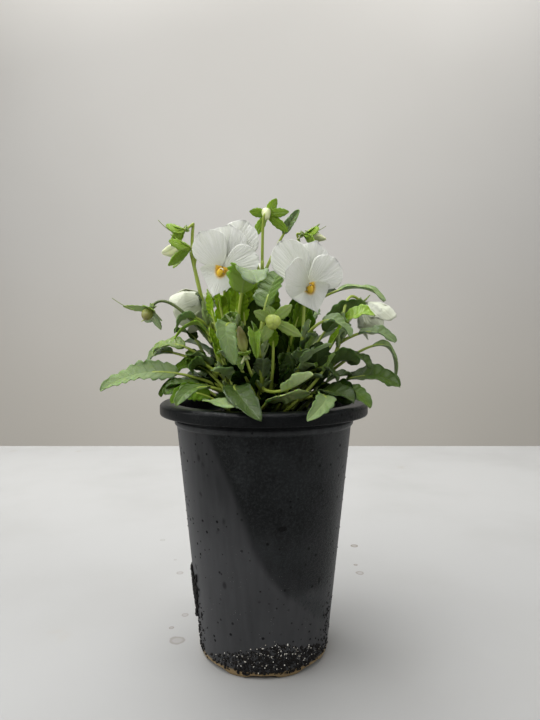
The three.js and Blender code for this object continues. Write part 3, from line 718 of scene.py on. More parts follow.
def calyx_middle(stalk):
    """The middle of a calyx, which an open bloom hangs a little below."""
    return np.array([0, 0.8 if stalk["bears"] == "bloom" else 0, CALYX_BACK])


def stalks_bearing(kind):
    """The flower stalks that bear this kind, in the order of their stems."""
    return [stalk for stem in STEMS.values() for stalk in stem["stalks"] if stalk["bears"] == kind]


def stalk_line(path, stalk):
    """The line of a flower stalk from its stem to the middle of its calyx."""
    middle = calyx_middle(stalk)
    before, end = facing(stalk)([middle - [0, 0, 9], middle])
    foot = bezier(path, stalk["start"])[0]
    return bezier([foot, stalk["over"], before, end], np.linspace(0, 1, 30))


def green_stalk():
    """Smooth juicy stem, pale yellow-green with long fine streaks, and darker where its tone is low: on old
    stalks, on dry styles and on the stalks of dark leaves, which deep in the crown is painted shade.
    """
    finish = Finish("green_stalk", Subsurface_Weight=0.2, Subsurface_Scale=0.6 * MM)
    finish.surface.inputs["Subsurface Radius"].default_value = (0.8, 1.0, 0.3)
    grown = finish.mark("grown")
    tone = finish.mark("tone")
    long_streaks = finish.noise(700, 3, finish.stretched(1, 1, 0.12))
    base = finish.colour(grown, (0.25, 0.32, 0.034), (0.36, 0.45, 0.060))
    # darker where the tone is low; on the stalks of the crown's leaves this is painted shade
    base = finish.colour((0 - tone).step(0, 1), base, (0.055, 0.085, 0.03))
    base = finish.colour(long_streaks.step(0.4, 0.7) * 0.35, base, (0.30, 0.36, 0.10))
    return finish.wear(Base_Color=base, Roughness=0.38 + long_streaks * 0.15,
                       Normal=finish.bump(long_streaks, 0.12, 0.5))


def small_leaves(path, count, azimuth, spread, reach, start=0.22, end=0.95, low=10, high=70, wide=16):
    """The smaller leaves that stand up a stem by rule, more upright towards its top."""
    for k in range(count):
        share = k / (count - 1)
        foot = bezier(path, start + (end - start) * share)[0]
        turn = math.radians(azimuth + spread * math.sin(2.4 * k + 0.6))
        rise = math.radians(low + (high - low) * share)
        length = reach * (1 - 0.3 * share) * (1 + 0.12 * math.sin(5 * k))
        out = direction(turn, rise)
        yield dict(foot=foot, over=foot + out * 0.5 * length + UP * 0.3 * length, tip=foot + out * length,
                   wide=wide - 3 * share, roll=24 * math.sin(3.1 * k), teeth=4,
                   tone=-0.2 + 0.5 * math.sin(4.1 * k + azimuth))


def leaves_of(stem):
    """The leaves of a stem, each with the foot that it starts from."""
    path = stem["path"]
    for leaf in stem["leaves"]:
        yield {**leaf, "foot": bezier(path, leaf["start"])[0]}
    yield from small_leaves(path, **stem["small"])


def petiole(form, foot, over, tip, bare=0.3, tone=0, **_):
    """A leaf's stalk, which runs on under the blade as its midrib."""
    shares = np.linspace(0, bare + (1 - bare) * 0.3, 14)
    radii = np.interp(shares, [0, bare, 1], [1.05, 0.75, 0.1])
    tube(form, bezier([foot, over, tip], shares), radii, 7, grown=0.6, tone=min(tone + 0.3, 0))


def leafy_stem(name, stem):
    """A stem with a swelling at each joint, the stalks of its leaves and those of its flowers."""
    form = Form()
    shares = np.linspace(0, 1, 36)
    swell = 1 + 0.14 * np.exp(-(((shares * STEM_JOINTS) % 1 - 0.5) / 0.1) ** 2)
    radii = (STEM_RADIUS + (STEM_TIP_RADIUS - STEM_RADIUS) * shares) * swell
    tube(form, bezier(stem["path"], shares), radii, 12, ridges=0.09, grown=shares, tone=0)
    for leaf in leaves_of(stem):
        petiole(form, **leaf)
    for stalk in stem["stalks"]:
        line = stalk_line(stem["path"], stalk)
        radii = np.linspace(STALK_RADIUS, STALK_TIP_RADIUS, len(line))
        radii[-3:] *= [1.1, 1.35, 1.6]  # it swells under its flower
        dark = -0.8 if "old" in stalk else 0
        tube(form, line, radii, 8, ridges=0.06, grown=np.linspace(0.5, 1, len(line)), tone=dark)
    form.place(f"{name}_stem", STALK, "leaf_green", f"leafy_stem_{name}")


STALK = green_stalk()
for stem_name, stem in STEMS.items():
    leafy_stem(stem_name, stem)


# ---------------------------------------------------------------- leaves
# Each blade is a thin soft sheet with rounded teeth, sunk along its midrib, puckered between its
# veins and paler underneath. Two cut stipules stand at its foot. Dark inner leaves crowd the crown,
# painted darker as shade and given a shaded copy of the leaf finish.

BLADE = 0.45  # thickness near the midrib

# Leaves between the main ones, which fill the crown, each from its foot by way of a bend to its tip.
BETWEEN_KEYS = ("foot", "over", "tip", "wide", "tone", "bare", "roll")
BETWEEN = [
    ((-36, 2, 172), (-44, 8, 188), (-54, 10, 184), 13, -0.7, 0.3, 0),
    ((-31, -8, 182), (-38, -12, 196), (-50, -13, 180), 8, 0.9, 0.1, 0),
    ((-30, -6, 178), (-40, -4, 194), (-42, -4, 190), 8, 0.8, 0.1, 0),
    ((-27, -6, 158), (-40, -4, 176), (-46, -2, 166), 14, -0.5, 0.3, -30),
    ((-26, -8, 160), (-40, -10, 172), (-40, -12, 160), 13, 0.0, 0.3, 20),
    ((-22, -6, 150), (-38, -4, 172), (-53, 3, 161), 14, -0.2, 0.3, -35),
    ((-20, -6, 140), (-42, -8, 164), (-60, -8, 148), 18, -0.5, 0.3, -15),
    ((-18, -10, 138), (-40, -18, 158), (-50, -24, 145), 13, 0.1, 0.3, -50),
    ((-4, -12, 150), (-4, -16, 178), (-4, -14, 202), 17, -0.9, 0.3, 12),
    ((14, -10, 150), (22, -8, 182), (18, -12, 204), 21, -0.1, 0.3, -20),
    ((10, -14, 150), (16, -12, 180), (14, -14, 198), 14, -0.8, 0.3, 0),
    ((26, -2, 168), (42, 4, 200), (60, 4, 200), 15, -0.4, 0.3, -55),
    ((16, -14, 140), (34, -22, 166), (27, -26, 177), 22, -0.9, 0.3, -30),
    ((18, -14, 138), (36, -28, 160), (47, -30, 146), 21, -1.0, 0.3, 25),
    ((10, -14, 140), (20, -26, 166), (12, -26, 172), 15, -0.8, 0.3, 30),
    ((-16, -8, 158), (-22, -10, 184), (-20, -10, 207), 12, 0.8, 0.3, 35),
    ((-10, -6, 158), (-12, -8, 184), (-13, -8, 203), 11, 0.6, 0.3, -25),
    ((20, -12, 150), (40, -18, 176), (52, -18, 166), 18, -0.6, 0.3, -30),
    ((28, -4, 160), (46, -4, 186), (51, -4, 196), 13, 0.5, 0.3, 20),
    ((-10, -8, 138), (-20, -12, 180), (-17, -8, 212), 10, 0.6, 0.72, 0),
    ((-6, -10, 140), (-16, -14, 180), (-9, -8, 210), 9, 0.7, 0.75, 0),
    ((-2, -8, 140), (-10, -12, 176), (-4, -6, 214), 9, 0.5, 0.7, 0),
    ((4, -6, 140), (2, -8, 180), (6, -4, 212), 10, 0.4, 0.7, 0),
    ((8, -12, 140), (12, -20, 176), (24, -10, 206), 10, 0.3, 0.68, 0),
    ((-12, -10, 138), (-26, -16, 178), (-22, -14, 204), 9, 0.9, 0.6, 40),
    ((-14, -14, 142), (-27, -15, 186), (-31, -13, 205), 6, 0.9, 0.7, 0),
    ((-10, -14, 142), (-22, -16, 186), (-27, -14, 211), 6, 1.0, 0.75, 0),
    ((-6, -14, 142), (-17, -17, 182), (-15, -16, 208), 7, 0.9, 0.7, 0),
    ((-2, -14, 142), (-12, -15, 182), (-11, -14, 205), 7, 0.8, 0.7, 0),
    ((2, -14, 142), (-8, -14, 182), (-9, -12, 209), 7, 0.9, 0.72, 0),
    ((-14, -16, 150), (-24, -20, 170), (-30, -18, 186), 9, 0.9, 0.5, -40),
    ((-12, -18, 150), (-16, -22, 172), (-21, -22, 190), 8, 0.8, 0.5, 30),
    ((2, -16, 140), (6, -30, 160), (5, -30, 186), 6, 0.5, 0.8, 0),
    ((6, -16, 140), (18, -28, 160), (28, -24, 184), 8, 0.4, 0.75, 0),
    ((0, -16, 138), (-6, -34, 154), (-16, -30, 172), 8, 0.3, 0.75, 0),
    ((10, -16, 138), (26, -30, 152), (38, -26, 172), 8, 0.2, 0.75, 0),
]
GOLDEN_ANGLE = 2.39996
CROWN_LEAVES, CROWN_TIERS = 72, 12


def crown_leaves(draw):
    """The many leaves that stand on long stalks in the crown, painted darker the lower they are, as shade
    deep in the crown.
    """
    for k in range(CROWN_LEAVES):
        turn = GOLDEN_ANGLE * k + draw.uniform(-0.3, 0.3)
        high = (k % CROWN_TIERS) / (CROWN_TIERS - 1)
        out = np.array([math.cos(turn), math.sin(turn), 0])
        spread = 14 + 24 * math.sin(math.pi * min(high + 0.2, 1)) * draw.uniform(0.8, 1.1)
        foot = out * draw.uniform(3, 11) + [0, 0, 128 + 6 * high]
        tip = out * spread + [0, 0, 141 + 52 * high + draw.uniform(-4, 4)]
        over = foot * 0.45 + tip * 0.55 + UP * draw.uniform(3, 12)
        # painted shade: the tone falls the lower a leaf stands in the crown
        yield dict(foot=foot, over=over, tip=tip, wide=draw.uniform(10, 14) + 4 * high,
                   roll=draw.uniform(-55, 55), fold=draw.uniform(5, 30),
                   bare=draw.uniform(0.4, 0.55), droop=draw.uniform(-0.2, 0.35),
                   tone=-2.0 + 0.9 * high + draw.uniform(-0.2, 0.5), rows=30, columns=11)


def sheet(form, middle, thick, ridge=0, **marks):
    """A closed thin sheet round a grid of points. Its second face, where the ridge of a midrib stands
    out, carries the mark `under`."""
    rows, columns = middle.shape[:2]
    half = np.broadcast_to(thick, (rows, columns))[..., None] / 2
    ridge = np.broadcast_to(ridge, (rows, columns))[..., None]
    normal = unit(np.cross(np.gradient(middle, axis=0), np.gradient(middle, axis=1)))
    upper = middle + normal * half
    lower = middle - normal * (half + ridge)
    at = np.arange(rows * columns).reshape(rows, columns)
    edge = np.concatenate([at[:-1, 0], at[-1, :-1], at[:0:-1, -1], at[0, :0:-1]])
    after = np.roll(edge, -1)
    count = rows * columns
    rim = np.stack([edge + count, after + count, after, edge], -1)
    faces = grid_faces(rows, columns)
    marks = {k: np.tile(np.broadcast_to(v, (rows, columns)).ravel(), 2) for k, v in marks.items()}
    marks["under"] = np.repeat([0.0, 1.0], count)
    points = np.vstack([upper.reshape(-1, 3), lower.reshape(-1, 3)])
    form.add(points, np.vstack([faces, faces[:, ::-1] + count, rim]), **marks)


def blade(form, foot, over, tip, wide, roll=0, fold=18, bare=0.3, tone=0, pale=0, teeth=6, bite=0.21,
          fullness=0.5, rows=38, columns=13, droop=0.0, backlit=0, **_):
    """The blade of a leaf along the Bezier rib of foot, over and tip, from the share bare on."""
    foot, over, tip = (np.array(p, float) for p in (foot, over, tip))
    seed = abs(float(foot @ [3.1, 5.7, 2.3] + tip @ [1.7, 0.9, 2.9]))

    # The rib, with the ways along it, across it and above it.
    chord = tip - foot
    side = np.cross(UP, chord)
    if np.linalg.norm(side) < 0.35 * np.linalg.norm(chord):
        side = np.array([foot[1], -foot[0], 0.0])
    x = np.linspace(0, 1, rows)
    s = (1 - (1 - x) ** 1.5) * 0.6 + x * 0.4
    t = bare + (1 - bare) * s
    rib = bezier([foot, over, tip], t)
    ways = unit(bezier([over - foot, tip - over], t))
    across = unit(side - ways * (ways @ side)[:, None])
    turn = math.radians(roll)
    across = across * math.cos(turn) + np.cross(ways, across) * math.sin(turn)
    above = np.cross(ways, across)

    # The outline, narrowed between its teeth: s runs up the blade, and v from one edge to the other.
    v = np.linspace(-1, 1, columns)
    v = np.sign(v) * np.abs(v) ** 1.2
    gap = np.abs(v)[None, :]
    s, v = s[:, None], v[None, :]
    full = np.sin(np.pi * np.clip(s, 0.0015, 0.9985) ** 0.85) ** fullness
    half = wide / 2 * np.maximum(full, 0.1 * (1 - s))
    phase = (teeth * s**0.9 + 0.13 * np.sign(v) * math.sin(seed)) % 1
    scallop = np.abs(np.sin(np.pi * phase**1.2)) ** 0.85
    cut_in = 1 - bite * (1 - scallop) * gap**4 * np.sin(np.pi * np.clip(s, 0, 1)) ** 0.3
    out = half * v * cut_in

    # The relief: puckers between the veins, slow waves, the fold along the rib and drooping sides.
    veins = teeth * s**0.9 - 0.9 * gap + 0.5
    pucker = 0.30 * np.sin(2 * np.pi * veins) * gap * (1 - gap) * 4 * np.sin(np.pi * s)
    waves = 0.07 * wide * np.sin(5.2 * s + seed) * v * gap + 0.05 * wide * np.sin(13 * s + 2 * seed) * gap**3
    rise = np.sqrt(v**2 + 0.006) - 0.077
    lift = half * rise * math.sin(math.radians(fold)) + pucker + waves - droop * half * gap**2
    middle = (rib[:, None] + across[:, None] * (out * math.cos(math.radians(fold)))[..., None]
              + above[:, None] * lift[..., None])
    from_rib = np.abs(out)
    ridge = (0.55 - 0.35 * s) * np.exp(-((from_rib / 0.7) ** 2))
    sheet(form, middle, BLADE * (1 - 0.45 * gap**3), ridge, veins=veins, rib=from_rib, edge=gap,
          lit_below=backlit, tone=tone, pale=pale)


def stipule(form, foot, way, out, length, tone):
    """A leafy stipule, cut almost to its rib into narrow lobes."""
    tip = foot + way * 0.75 * length + out * 0.55 * length
    blade(form, foot, foot + way * 0.35 * length + out * 0.35 * length, tip, 0.42 * length, fold=22,
          bare=0.08, tone=tone, teeth=3, bite=0.6, rows=26, columns=9)


def leaf_green(name, gloss, waxy):
    """Satin leaf: dark between its veins and lighter on them, paler and duller underneath, with a painted
    grey-blue sheen where a face is marked pale and a painted glow where it is marked backlit.
    """
    finish = Finish(name, Subsurface_Weight=0.35, Subsurface_Scale=0.9 * MM, Specular_IOR_Level=gloss)
    finish.surface.inputs["Subsurface Radius"].default_value = (0.6, 1.0, 0.1)
    tone, edge, under = (finish.mark(name) for name in ("tone", "edge", "under"))
    # painted sheen: the waxy underside colour, laid on an upper face marked pale, stands for a grey-blue
    # sheen
    paler = under.larger(finish.mark("pale")) * waxy
    side_vein = finish.mark("veins").off_half().step(0.5, 0.44) * edge.step(1.0, 0.6) * 0.6
    vein = side_vein.larger(finish.mark("rib").step(0.8, 0.2))
    net = finish.cells(1100, feature="DISTANCE_TO_EDGE").step(0.09, 0.0)
    cloud = finish.noise(110, 4)
    fine = finish.noise(900, 2)
    upper = finish.colour(tone.step(-1, 0), (0.003, 0.014, 0.001), (0.055, 0.125, 0.004))
    upper = finish.colour(tone.step(0, 1), upper, (0.230, 0.390, 0.006))
    lit = tone.step(-1.4, 0.3)
    upper = finish.colour(cloud.step(0.35, 0.75) * lit * 0.3, upper, (0.095, 0.165, 0.014))
    upper = finish.colour((vein * 0.38 + net * 0.08) * (lit * 0.8 + 0.2), upper, (0.210, 0.310, 0.050))
    lower = finish.colour(tone.step(-1.3, 0.1), (0.007, 0.022, 0.002), (0.180, 0.265, 0.120))
    lower = finish.colour(tone.step(0, 1), lower, (0.350, 0.450, 0.150))
    lower = finish.colour((vein * 0.45 + net * 0.12) * lit, lower, (0.400, 0.470, 0.220))
    base = finish.colour(paler, upper, lower)
    glow = finish.mark("backlit") + finish.mark("lit_below") * under
    base = finish.colour(glow * (0.9 - vein * 0.4), base, (0.250, 0.400, 0.010))
    base = finish.colour(edge.step(0.9, 1.0) * lit * 0.25, base, (0.24, 0.33, 0.08))
    height = (fine * 0.25 - vein * 0.9 - net * 0.35) * (1 - 2 * under)
    rough = 0.30 + paler * 0.2 + fine * 0.12
    return finish.wear(Base_Color=base, Roughness=rough, Normal=finish.bump(height, 0.3, 1.0))


def foliage(name, stem):
    """The blades of a stem's leaves, and two stipules at the foot of each."""
    form = Form()
    draw = np.random.default_rng(len(name) * 7 + ord(name[0]))
    for leaf in leaves_of(stem):
        blade(form, **leaf)
        foot, over = leaf["foot"], np.array(leaf["over"], float)
        way = unit(over - foot)
        side = unit(np.cross(way, UP))
        for hand in (-1, 1):
            stipule(form, foot + way * 0.8, UP * 0.7 + way * 0.4, side * hand * 0.8 + way * 0.3,
                    draw.uniform(7, 12), draw.uniform(0.0, 0.8))
    form.place(f"{name}_leaves", LEAF, "leaf_green", f"leafy_stem_{name}")


def inner_leaves():
    """The leaves that fill the crown, as one piece, and their stalks as another."""
    stalks, blades = Form(), Form()
    between = [dict(zip(BETWEEN_KEYS, row)) for row in BETWEEN]
    for leaf in [*between, *crown_leaves(np.random.default_rng(4))]:
        blade(blades, **leaf)
        petiole(stalks, **leaf)
    blades.place("inner_leaves", SHADED_INNER_LEAF, "leaf_green")
    stalks.place("inner_leaf_stalks", STALK, "leaf_green")


# the inner leaves get a shaded copy of the leaf finish, with almost no gloss and less pale colour, as painted
# shade inside the crown
LEAF = leaf_green("leaf_green", 0.42, 1.0)
SHADED_INNER_LEAF = leaf_green("shaded_inner_leaf_green", 0.03, 0.4)
for stem_name, stem in STEMS.items():
    foliage(stem_name, stem)
inner_leaves()


# ---------------------------------------------------------------- sepals
# Five pointed green sepals hold each flower, bud or capsule at the end of its stalk. Each has a thin
# pale margin and a short ear that points back along the stalk.

SEPALS = {0: 0.85, 66: 0.9, 130: 1.05, 230: 1.15, 294: 0.95}  # turn of each: its share of the length
SEPAL_BROAD, SEPAL_THICK = 4.4, 0.4
EAR_LENGTH = 2.4


def sepal(form, put, foot, turn, length, open, broad, tone, hook):
    """A sepal and its ear. `open` is its angle from the way the flower faces; `hook` bends its tip."""
    turn, open = math.radians(turn), math.radians(open)
    s = (np.linspace(0, 1, 26) ** 0.9)[:, None]
    v = np.linspace(-1, 1, 9)[None, :]
    out = np.array([-math.sin(turn), math.cos(turn), 0])
    across = np.array([math.cos(turn), math.sin(turn), 0])
    way = out * math.sin(open) + np.array([0, 0, math.cos(open)])
    back = out * math.cos(open) - np.array([0, 0, math.sin(open)])  # the side turned to the stalk
    half = broad * 0.55 * (np.sin(np.pi * s**1.1) ** 0.75 + 0.15 * (1 - s))
    tooth = 1 + 0.07 * np.sin(34 * s) * np.abs(v)
    sag = 1.2 * s**2 + hook * np.sin(np.pi * s * 0.5) * s - 0.22 * half * v**2 / broad * 3
    middle = (way * (s * length)[..., None] + across * (half * v * tooth)[..., None]
              + back * sag[..., None] + foot)
    ridge = 0.25 * np.exp(-((half * v / 0.5) ** 2))
    sheet(form, put(middle), SEPAL_THICK, ridge, tone=tone, backlit=0.55 if tone > 0.3 else 0,
          rib=np.abs(half * v), edge=np.abs(v), veins=3 * s)

    ear = s[::3]
    lobe = 1.15 * np.sin(np.pi * (0.18 + 0.8 * ear))
    middle = (out * (0.7 + 1.3 * ear)[..., None] + across * (lobe * v)[..., None]
              + foot - np.array([0, 0, EAR_LENGTH]) * ear[..., None])
    sheet(form, put(middle), SEPAL_THICK, tone=tone + 0.2, edge=np.abs(v))


def calyces(name, stem):
    """The sepals of all the flowers of a stem, no two of them quite alike."""
    form = Form()
    draw = np.random.default_rng(3 + len(name))
    for stalk in stem["stalks"]:
        put, foot = facing(stalk), calyx_middle(stalk)
        broad, wild = stalk.get("broad", SEPAL_BROAD), stalk.get("wild", 1)
        tone = 0.4 if "old" in stalk else 0.8
        for turn, share in stalk.get("sepals", SEPALS).items():
            turn += draw.uniform(-5, 5)
            length = stalk["length"] * share * draw.uniform(0.9, 1.0)
            shade = tone + draw.uniform(-0.3, 0.2)
            sepal(form, put, foot, turn, length, stalk["open"], broad, shade, draw.uniform(-0.6, 1.0) * wild)
    form.place(f"{name}_sepals", LEAF, "leaf_green", f"leafy_stem_{name}")


for stem_name, stem in STEMS.items():
    calyces(stem_name, stem)


# ---------------------------------------------------------------- open blooms
# Each bloom has five thin white petals joined at the throat: two upper, two at the sides with a tuft
# of hairs, and a lip with a yellow patch, whose spur runs back between the sepals.

# The petals of each bloom in millimetres and degrees: `lean` tips one back, and `curl` bends its sides.
BLOOM_PETALS = [
    [
        dict(turn=-9, long=30, wide=23, lift=-1.3, lean=9, curl=2.5),
        dict(turn=10, long=25, wide=23, lift=-0.5, lean=6, curl=0.6),
        dict(turn=46, long=24, wide=21, lift=0.4, lean=-3, curl=0.9),
        dict(turn=-54, long=22, wide=19, lift=0.4, lean=-3, curl=0.8),
        dict(turn=182, long=15.5, wide=25, lift=1.3, lean=-12, curl=3.0, lip=True),
    ],
    [
        dict(turn=-32, long=26, wide=20, lift=-1.3, lean=9, curl=2.0),
        dict(turn=15, long=29, wide=22, lift=-0.5, lean=5, curl=0.6),
        dict(turn=54, long=19, wide=20, lift=0.6, lean=-50, curl=-2.0),
        dict(turn=-70, long=22, wide=20, lift=0.4, lean=-3, curl=0.8),
        dict(turn=178, long=15, wide=24, lift=1.3, lean=-12, curl=3.0, lip=True),
    ],
]
PETAL_ROWS, PETAL_COLUMNS = 44, 31
PETAL_THICK, PETAL_EDGE = 0.38, 0.22  # at the claw and at the outer edge
THROAT_HAIRS = 26  # on each side


def rising(share, full_at):
    """Rises from 0 to 1 along a quarter of a sine wave, and stays there from full_at on."""
    return np.sin(np.pi / 2 * np.clip(share / full_at, 0, 1))


def petal(form, put, turn, long, wide, lift, lean, curl, seed, lip=False):
    """One petal, in rows out from the throat: a lip comes to a point, and the others are rounded."""
    u = np.sin(np.linspace(0, np.pi / 2, PETAL_ROWS))[:, None]
    v = np.linspace(-1, 1, PETAL_COLUMNS)[None, :]
    if lip:
        half = (0.42 + 0.58 * rising(u, 0.26)) * (1 - np.clip((u - 0.2) / 0.8, 0, 1) ** 1.25)
        half = np.maximum(half, 0.05 * np.sqrt(np.clip(1 - u, 0.001, 1)) + 0.004)
        along = long * (u * 1.12 - 0.12) * (1 - 0.05 * v * v)
    else:
        half = 0.16 + 0.84 * rising(u, 0.66) ** 1.1
        half = half * np.sqrt(np.clip(1 - np.clip((u - 0.58) / 0.42, 0, 1) ** 2.2, 0.004, 1))
        along = long * u * (1 - 0.05 * v * v * u)
    w = half * v
    side = wide / 2 * w
    along = along + 0.3 * np.sin(7 * w + seed) * u**3 * (1 - lip)
    ruffle = 0.6 * np.sin(4.5 * w + seed) * u**2 + 0.3 * np.sin(11 * w + 2 * seed + 3 * u) * u**4
    depth = lift - math.tan(math.radians(lean)) * along - curl * w * w * u + ruffle
    turn = math.radians(turn)
    x = side * math.cos(turn) - along * math.sin(turn)
    y = side * math.sin(turn) + along * math.cos(turn)
    thick = PETAL_THICK - (PETAL_THICK - PETAL_EDGE) * u
    ray = side * 2 / (along + 0.12 * long)
    gold = 1 - smooth_step(0.23, 0.33, np.hypot(u * 0.75, w * 0.9)) if lip else 0
    sheet(form, put(np.stack([x, y, depth], -1)), thick, ray=ray, reach=u, gold=gold, seed=seed)


def petal_white():
    """Thin white petal with a dull velvet face, faint branching veins and a little green at its claw."""
    finish = Finish("petal_white", Subsurface_Weight=0.4, Subsurface_Scale=1.1 * MM,
                    Specular_IOR_Level=0.35, Sheen_Weight=0.15)
    finish.surface.inputs["Subsurface Radius"].default_value = (1.0, 1.0, 0.9)
    ray, reach, gold = (finish.mark(name) for name in ("ray", "reach", "gold"))
    wobble = finish.noise(160, 2)
    off = (ray * 5.5 + wobble * 1.2 + reach * 0.6).off_half()
    vein = off.step(0.5, 0.36) * reach.step(1.05, 0.55)
    pleated = finish.node("CombineXYZ", {}, {0: ray * 7, 1: reach * 1.2, 2: finish.mark("seed")})
    pleat = finish.noise(1.4, 4, pleated, 0.6)
    cloud = finish.noise(60, 3)
    base = finish.colour(cloud.step(0.3, 0.7), (0.70, 0.71, 0.655), (0.76, 0.76, 0.725))
    base = finish.colour(finish.mark("cream"), base, (0.58, 0.60, 0.46))
    base = finish.colour(reach.step(0.5, 0.0) * 0.5, base, (0.58, 0.63, 0.40))
    base = finish.colour(pleat.step(0.35, 0.75) * 0.35, base, (0.52, 0.55, 0.44))
    base = finish.colour(vein * 0.2, base, (0.47, 0.51, 0.39))
    guides = off.step(0.5, 0.33) * gold.step(0.3, 0.9)
    base = finish.colour(gold, base, (0.80, 0.50, 0.012))
    base = finish.colour(guides * 0.3, base, (0.22, 0.09, 0.01))
    height = vein * 0.5 + pleat * 1.6
    return finish.wear(Base_Color=base, Roughness=0.55 + cloud * 0.2, Normal=finish.bump(height, 0.4, 0.8))


def throat_yellow():
    """Deep yellow with fine down, and a brown mouth."""
    finish = Finish("throat_yellow", Subsurface_Weight=0.1, Subsurface_Scale=0.5 * MM)
    down = finish.noise(2500, 2)
    mark = finish.mark("dark")
    base = finish.colour(down, (0.76, 0.44, 0.010), (0.84, 0.58, 0.03))
    base = finish.colour(mark, base, (0.18, 0.09, 0.012))
    return finish.wear(Base_Color=base, Roughness=0.6, Normal=finish.bump(down, 0.15))


def bloom(name, stalk, petals):
    """The petals of an open bloom, joined by the tube of its throat, and its spur."""
    put = facing(stalk)
    form = Form()
    for k, shape in enumerate(petals):
        petal(form, put, seed=1.7 * k + len(form.points) + stalk["at"][0] * 0.1, **shape)
    shares = np.linspace(0, 1, 12)
    spur = bezier([(0, -2.2, 0.2), (0, -2.6, -4), (0, -2.2, -6.5)], shares)
    tube(form, put(spur), np.interp(shares, [0, 0.2, 1], [1.6, 1.05, 0.8]), 12, reach=0.3, ray=0)
    throat = bezier([(0, -1.2, -1.4), (0, -1.2, 0), (0, -1.2, 1.7)], np.linspace(0, 1, 6))
    tube(form, put(throat), np.linspace(1.3, 2.2, 6), 16, reach=0.15, ray=0)
    form.place(f"open_{name}", PETAL, "petal_white", name)


def bloom_eye(name, stalk):
    """The knob of the style, its dark mouth, and the tufts of hairs at its sides."""
    put = facing(stalk)
    draw = np.random.default_rng(17)
    form = Form()
    knob = LUMP_POINTS * [1.7, 2.1, 1.0] + [0, -1.4, 3.0]
    form.add(put(knob), LUMP_FACES, dark=0)
    mouth = LUMP_POINTS * [0.55, 0.3, 0.3] + [0.3, 0.2, 3.75]
    form.add(put(mouth), LUMP_FACES, dark=1)
    for hand in (-1, 1):
        for _ in range(THROAT_HAIRS):
            foot = np.array([hand * draw.uniform(1.4, 2.8), draw.uniform(-1.0, 1.6), 1.8])
            tip = foot + [hand * draw.uniform(-0.9, 0.3), draw.uniform(-0.7, 0.5), draw.uniform(0.7, 1.3)]
            tube(form, put(np.linspace(foot, tip, 3)), [0.13, 0.12, 0.07], 5, dark=0)
    form.place(f"bearded_{name}", THROAT, "eye_yellow", name)


PETAL = petal_white()
THROAT = throat_yellow()
for k, (stalk, petals) in enumerate(zip(stalks_bearing("bloom"), BLOOM_PETALS), 1):
    bloom(f"bloom_petals_{k}", stalk, petals)
    bloom_eye(f"bloom_eye_{k}", stalk)


# ---------------------------------------------------------------- young blooms
# Three blooms are still half closed: five petals wrapped round each other as a lobed bell.

SEAT = CALYX_BACK + 0.7  # where what a calyx holds stands in it
BELL_RADII = [0.6, 4.6, 8.0, 9.8, 9.4]
BELL_HEIGHTS = [SEAT, 0.8, 4.5, 9.5, 15]
BELL_SHARES = [0, 0.2, 0.5, 0.8, 1]  # of a petal's length, at each of those heights
OVERLAP = (0, 0.5, 0, 0.5, 1.0)  # how far each petal stands outside the ones beside it
FIRST_TURN, HALF_TURN = math.radians(57), math.radians(62)


def young_bloom(name, stalk):
    """Five petals that overlap round a bell, each with a lobed and ruffled end."""
    put = facing(stalk)
    form = Form()
    draw = np.random.default_rng(len(name) + int(name[-1]))
    u = np.linspace(0, 1, 30)[:, None]
    v = np.linspace(-1, 1, 23)[None, :]
    arc = np.interp(u, BELL_SHARES, BELL_HEIGHTS)
    bell = np.interp(arc, BELL_HEIGHTS, BELL_RADII)
    swell = 1 + (stalk.get("full", 1) - 1) * u[..., None]
    for k, outer in enumerate(OVERLAP):
        seed = draw.uniform(0, 6)
        turn = 2 * np.pi * k / 5 + FIRST_TURN + v * HALF_TURN * (1 - 0.25 * smooth_step(0.8, 1, u))
        rim = 1 + 0.14 * (1 - np.abs(v) ** 3) * u**3
        z = (arc - SEAT) * rim * (1 - 0.26 * np.abs(v) ** 3 * u**2) + SEAT
        spread = 1 + (0.10 + 0.06 * np.abs(np.sin(turn))) * u**2
        r = bell * spread + outer * u + 0.12 * np.sin(6 * v + seed) * u**3
        middle = np.stack([r * np.cos(turn), r * np.sin(turn), z + 0.15 * np.sin(9 * v + seed) * u**4], -1)
        sheet(form, put(middle * swell), 0.3, ray=v * 0.8, reach=0.15 + 0.65 * u, seed=seed, cream=0.9)
    form.place(f"half_open_{name}", PETAL, "petal_white", name)


for k, stalk in enumerate(stalks_bearing("young_bloom"), 1):
    young_bloom(f"young_bloom_{k}", stalk)


# ---------------------------------------------------------------- buds and seed capsules
# A bud is a blunt cone of tightly rolled petals. A capsule is a smooth round case of three valves
# that holds the seeds, with the dry style still on its tip.

CAPSULE_RADIUS = 4.2
BUD_SHARES = [0, 0.05, 0.2, 0.38, 0.7, 0.96, 1]  # of a bud's length
BUD_RADII = [0.03, 0.2, 0.4, 0.5, 0.4, 0.15, 0.02]  # at each of those, as shares of its width
SPUR_GIRTH = 0.9


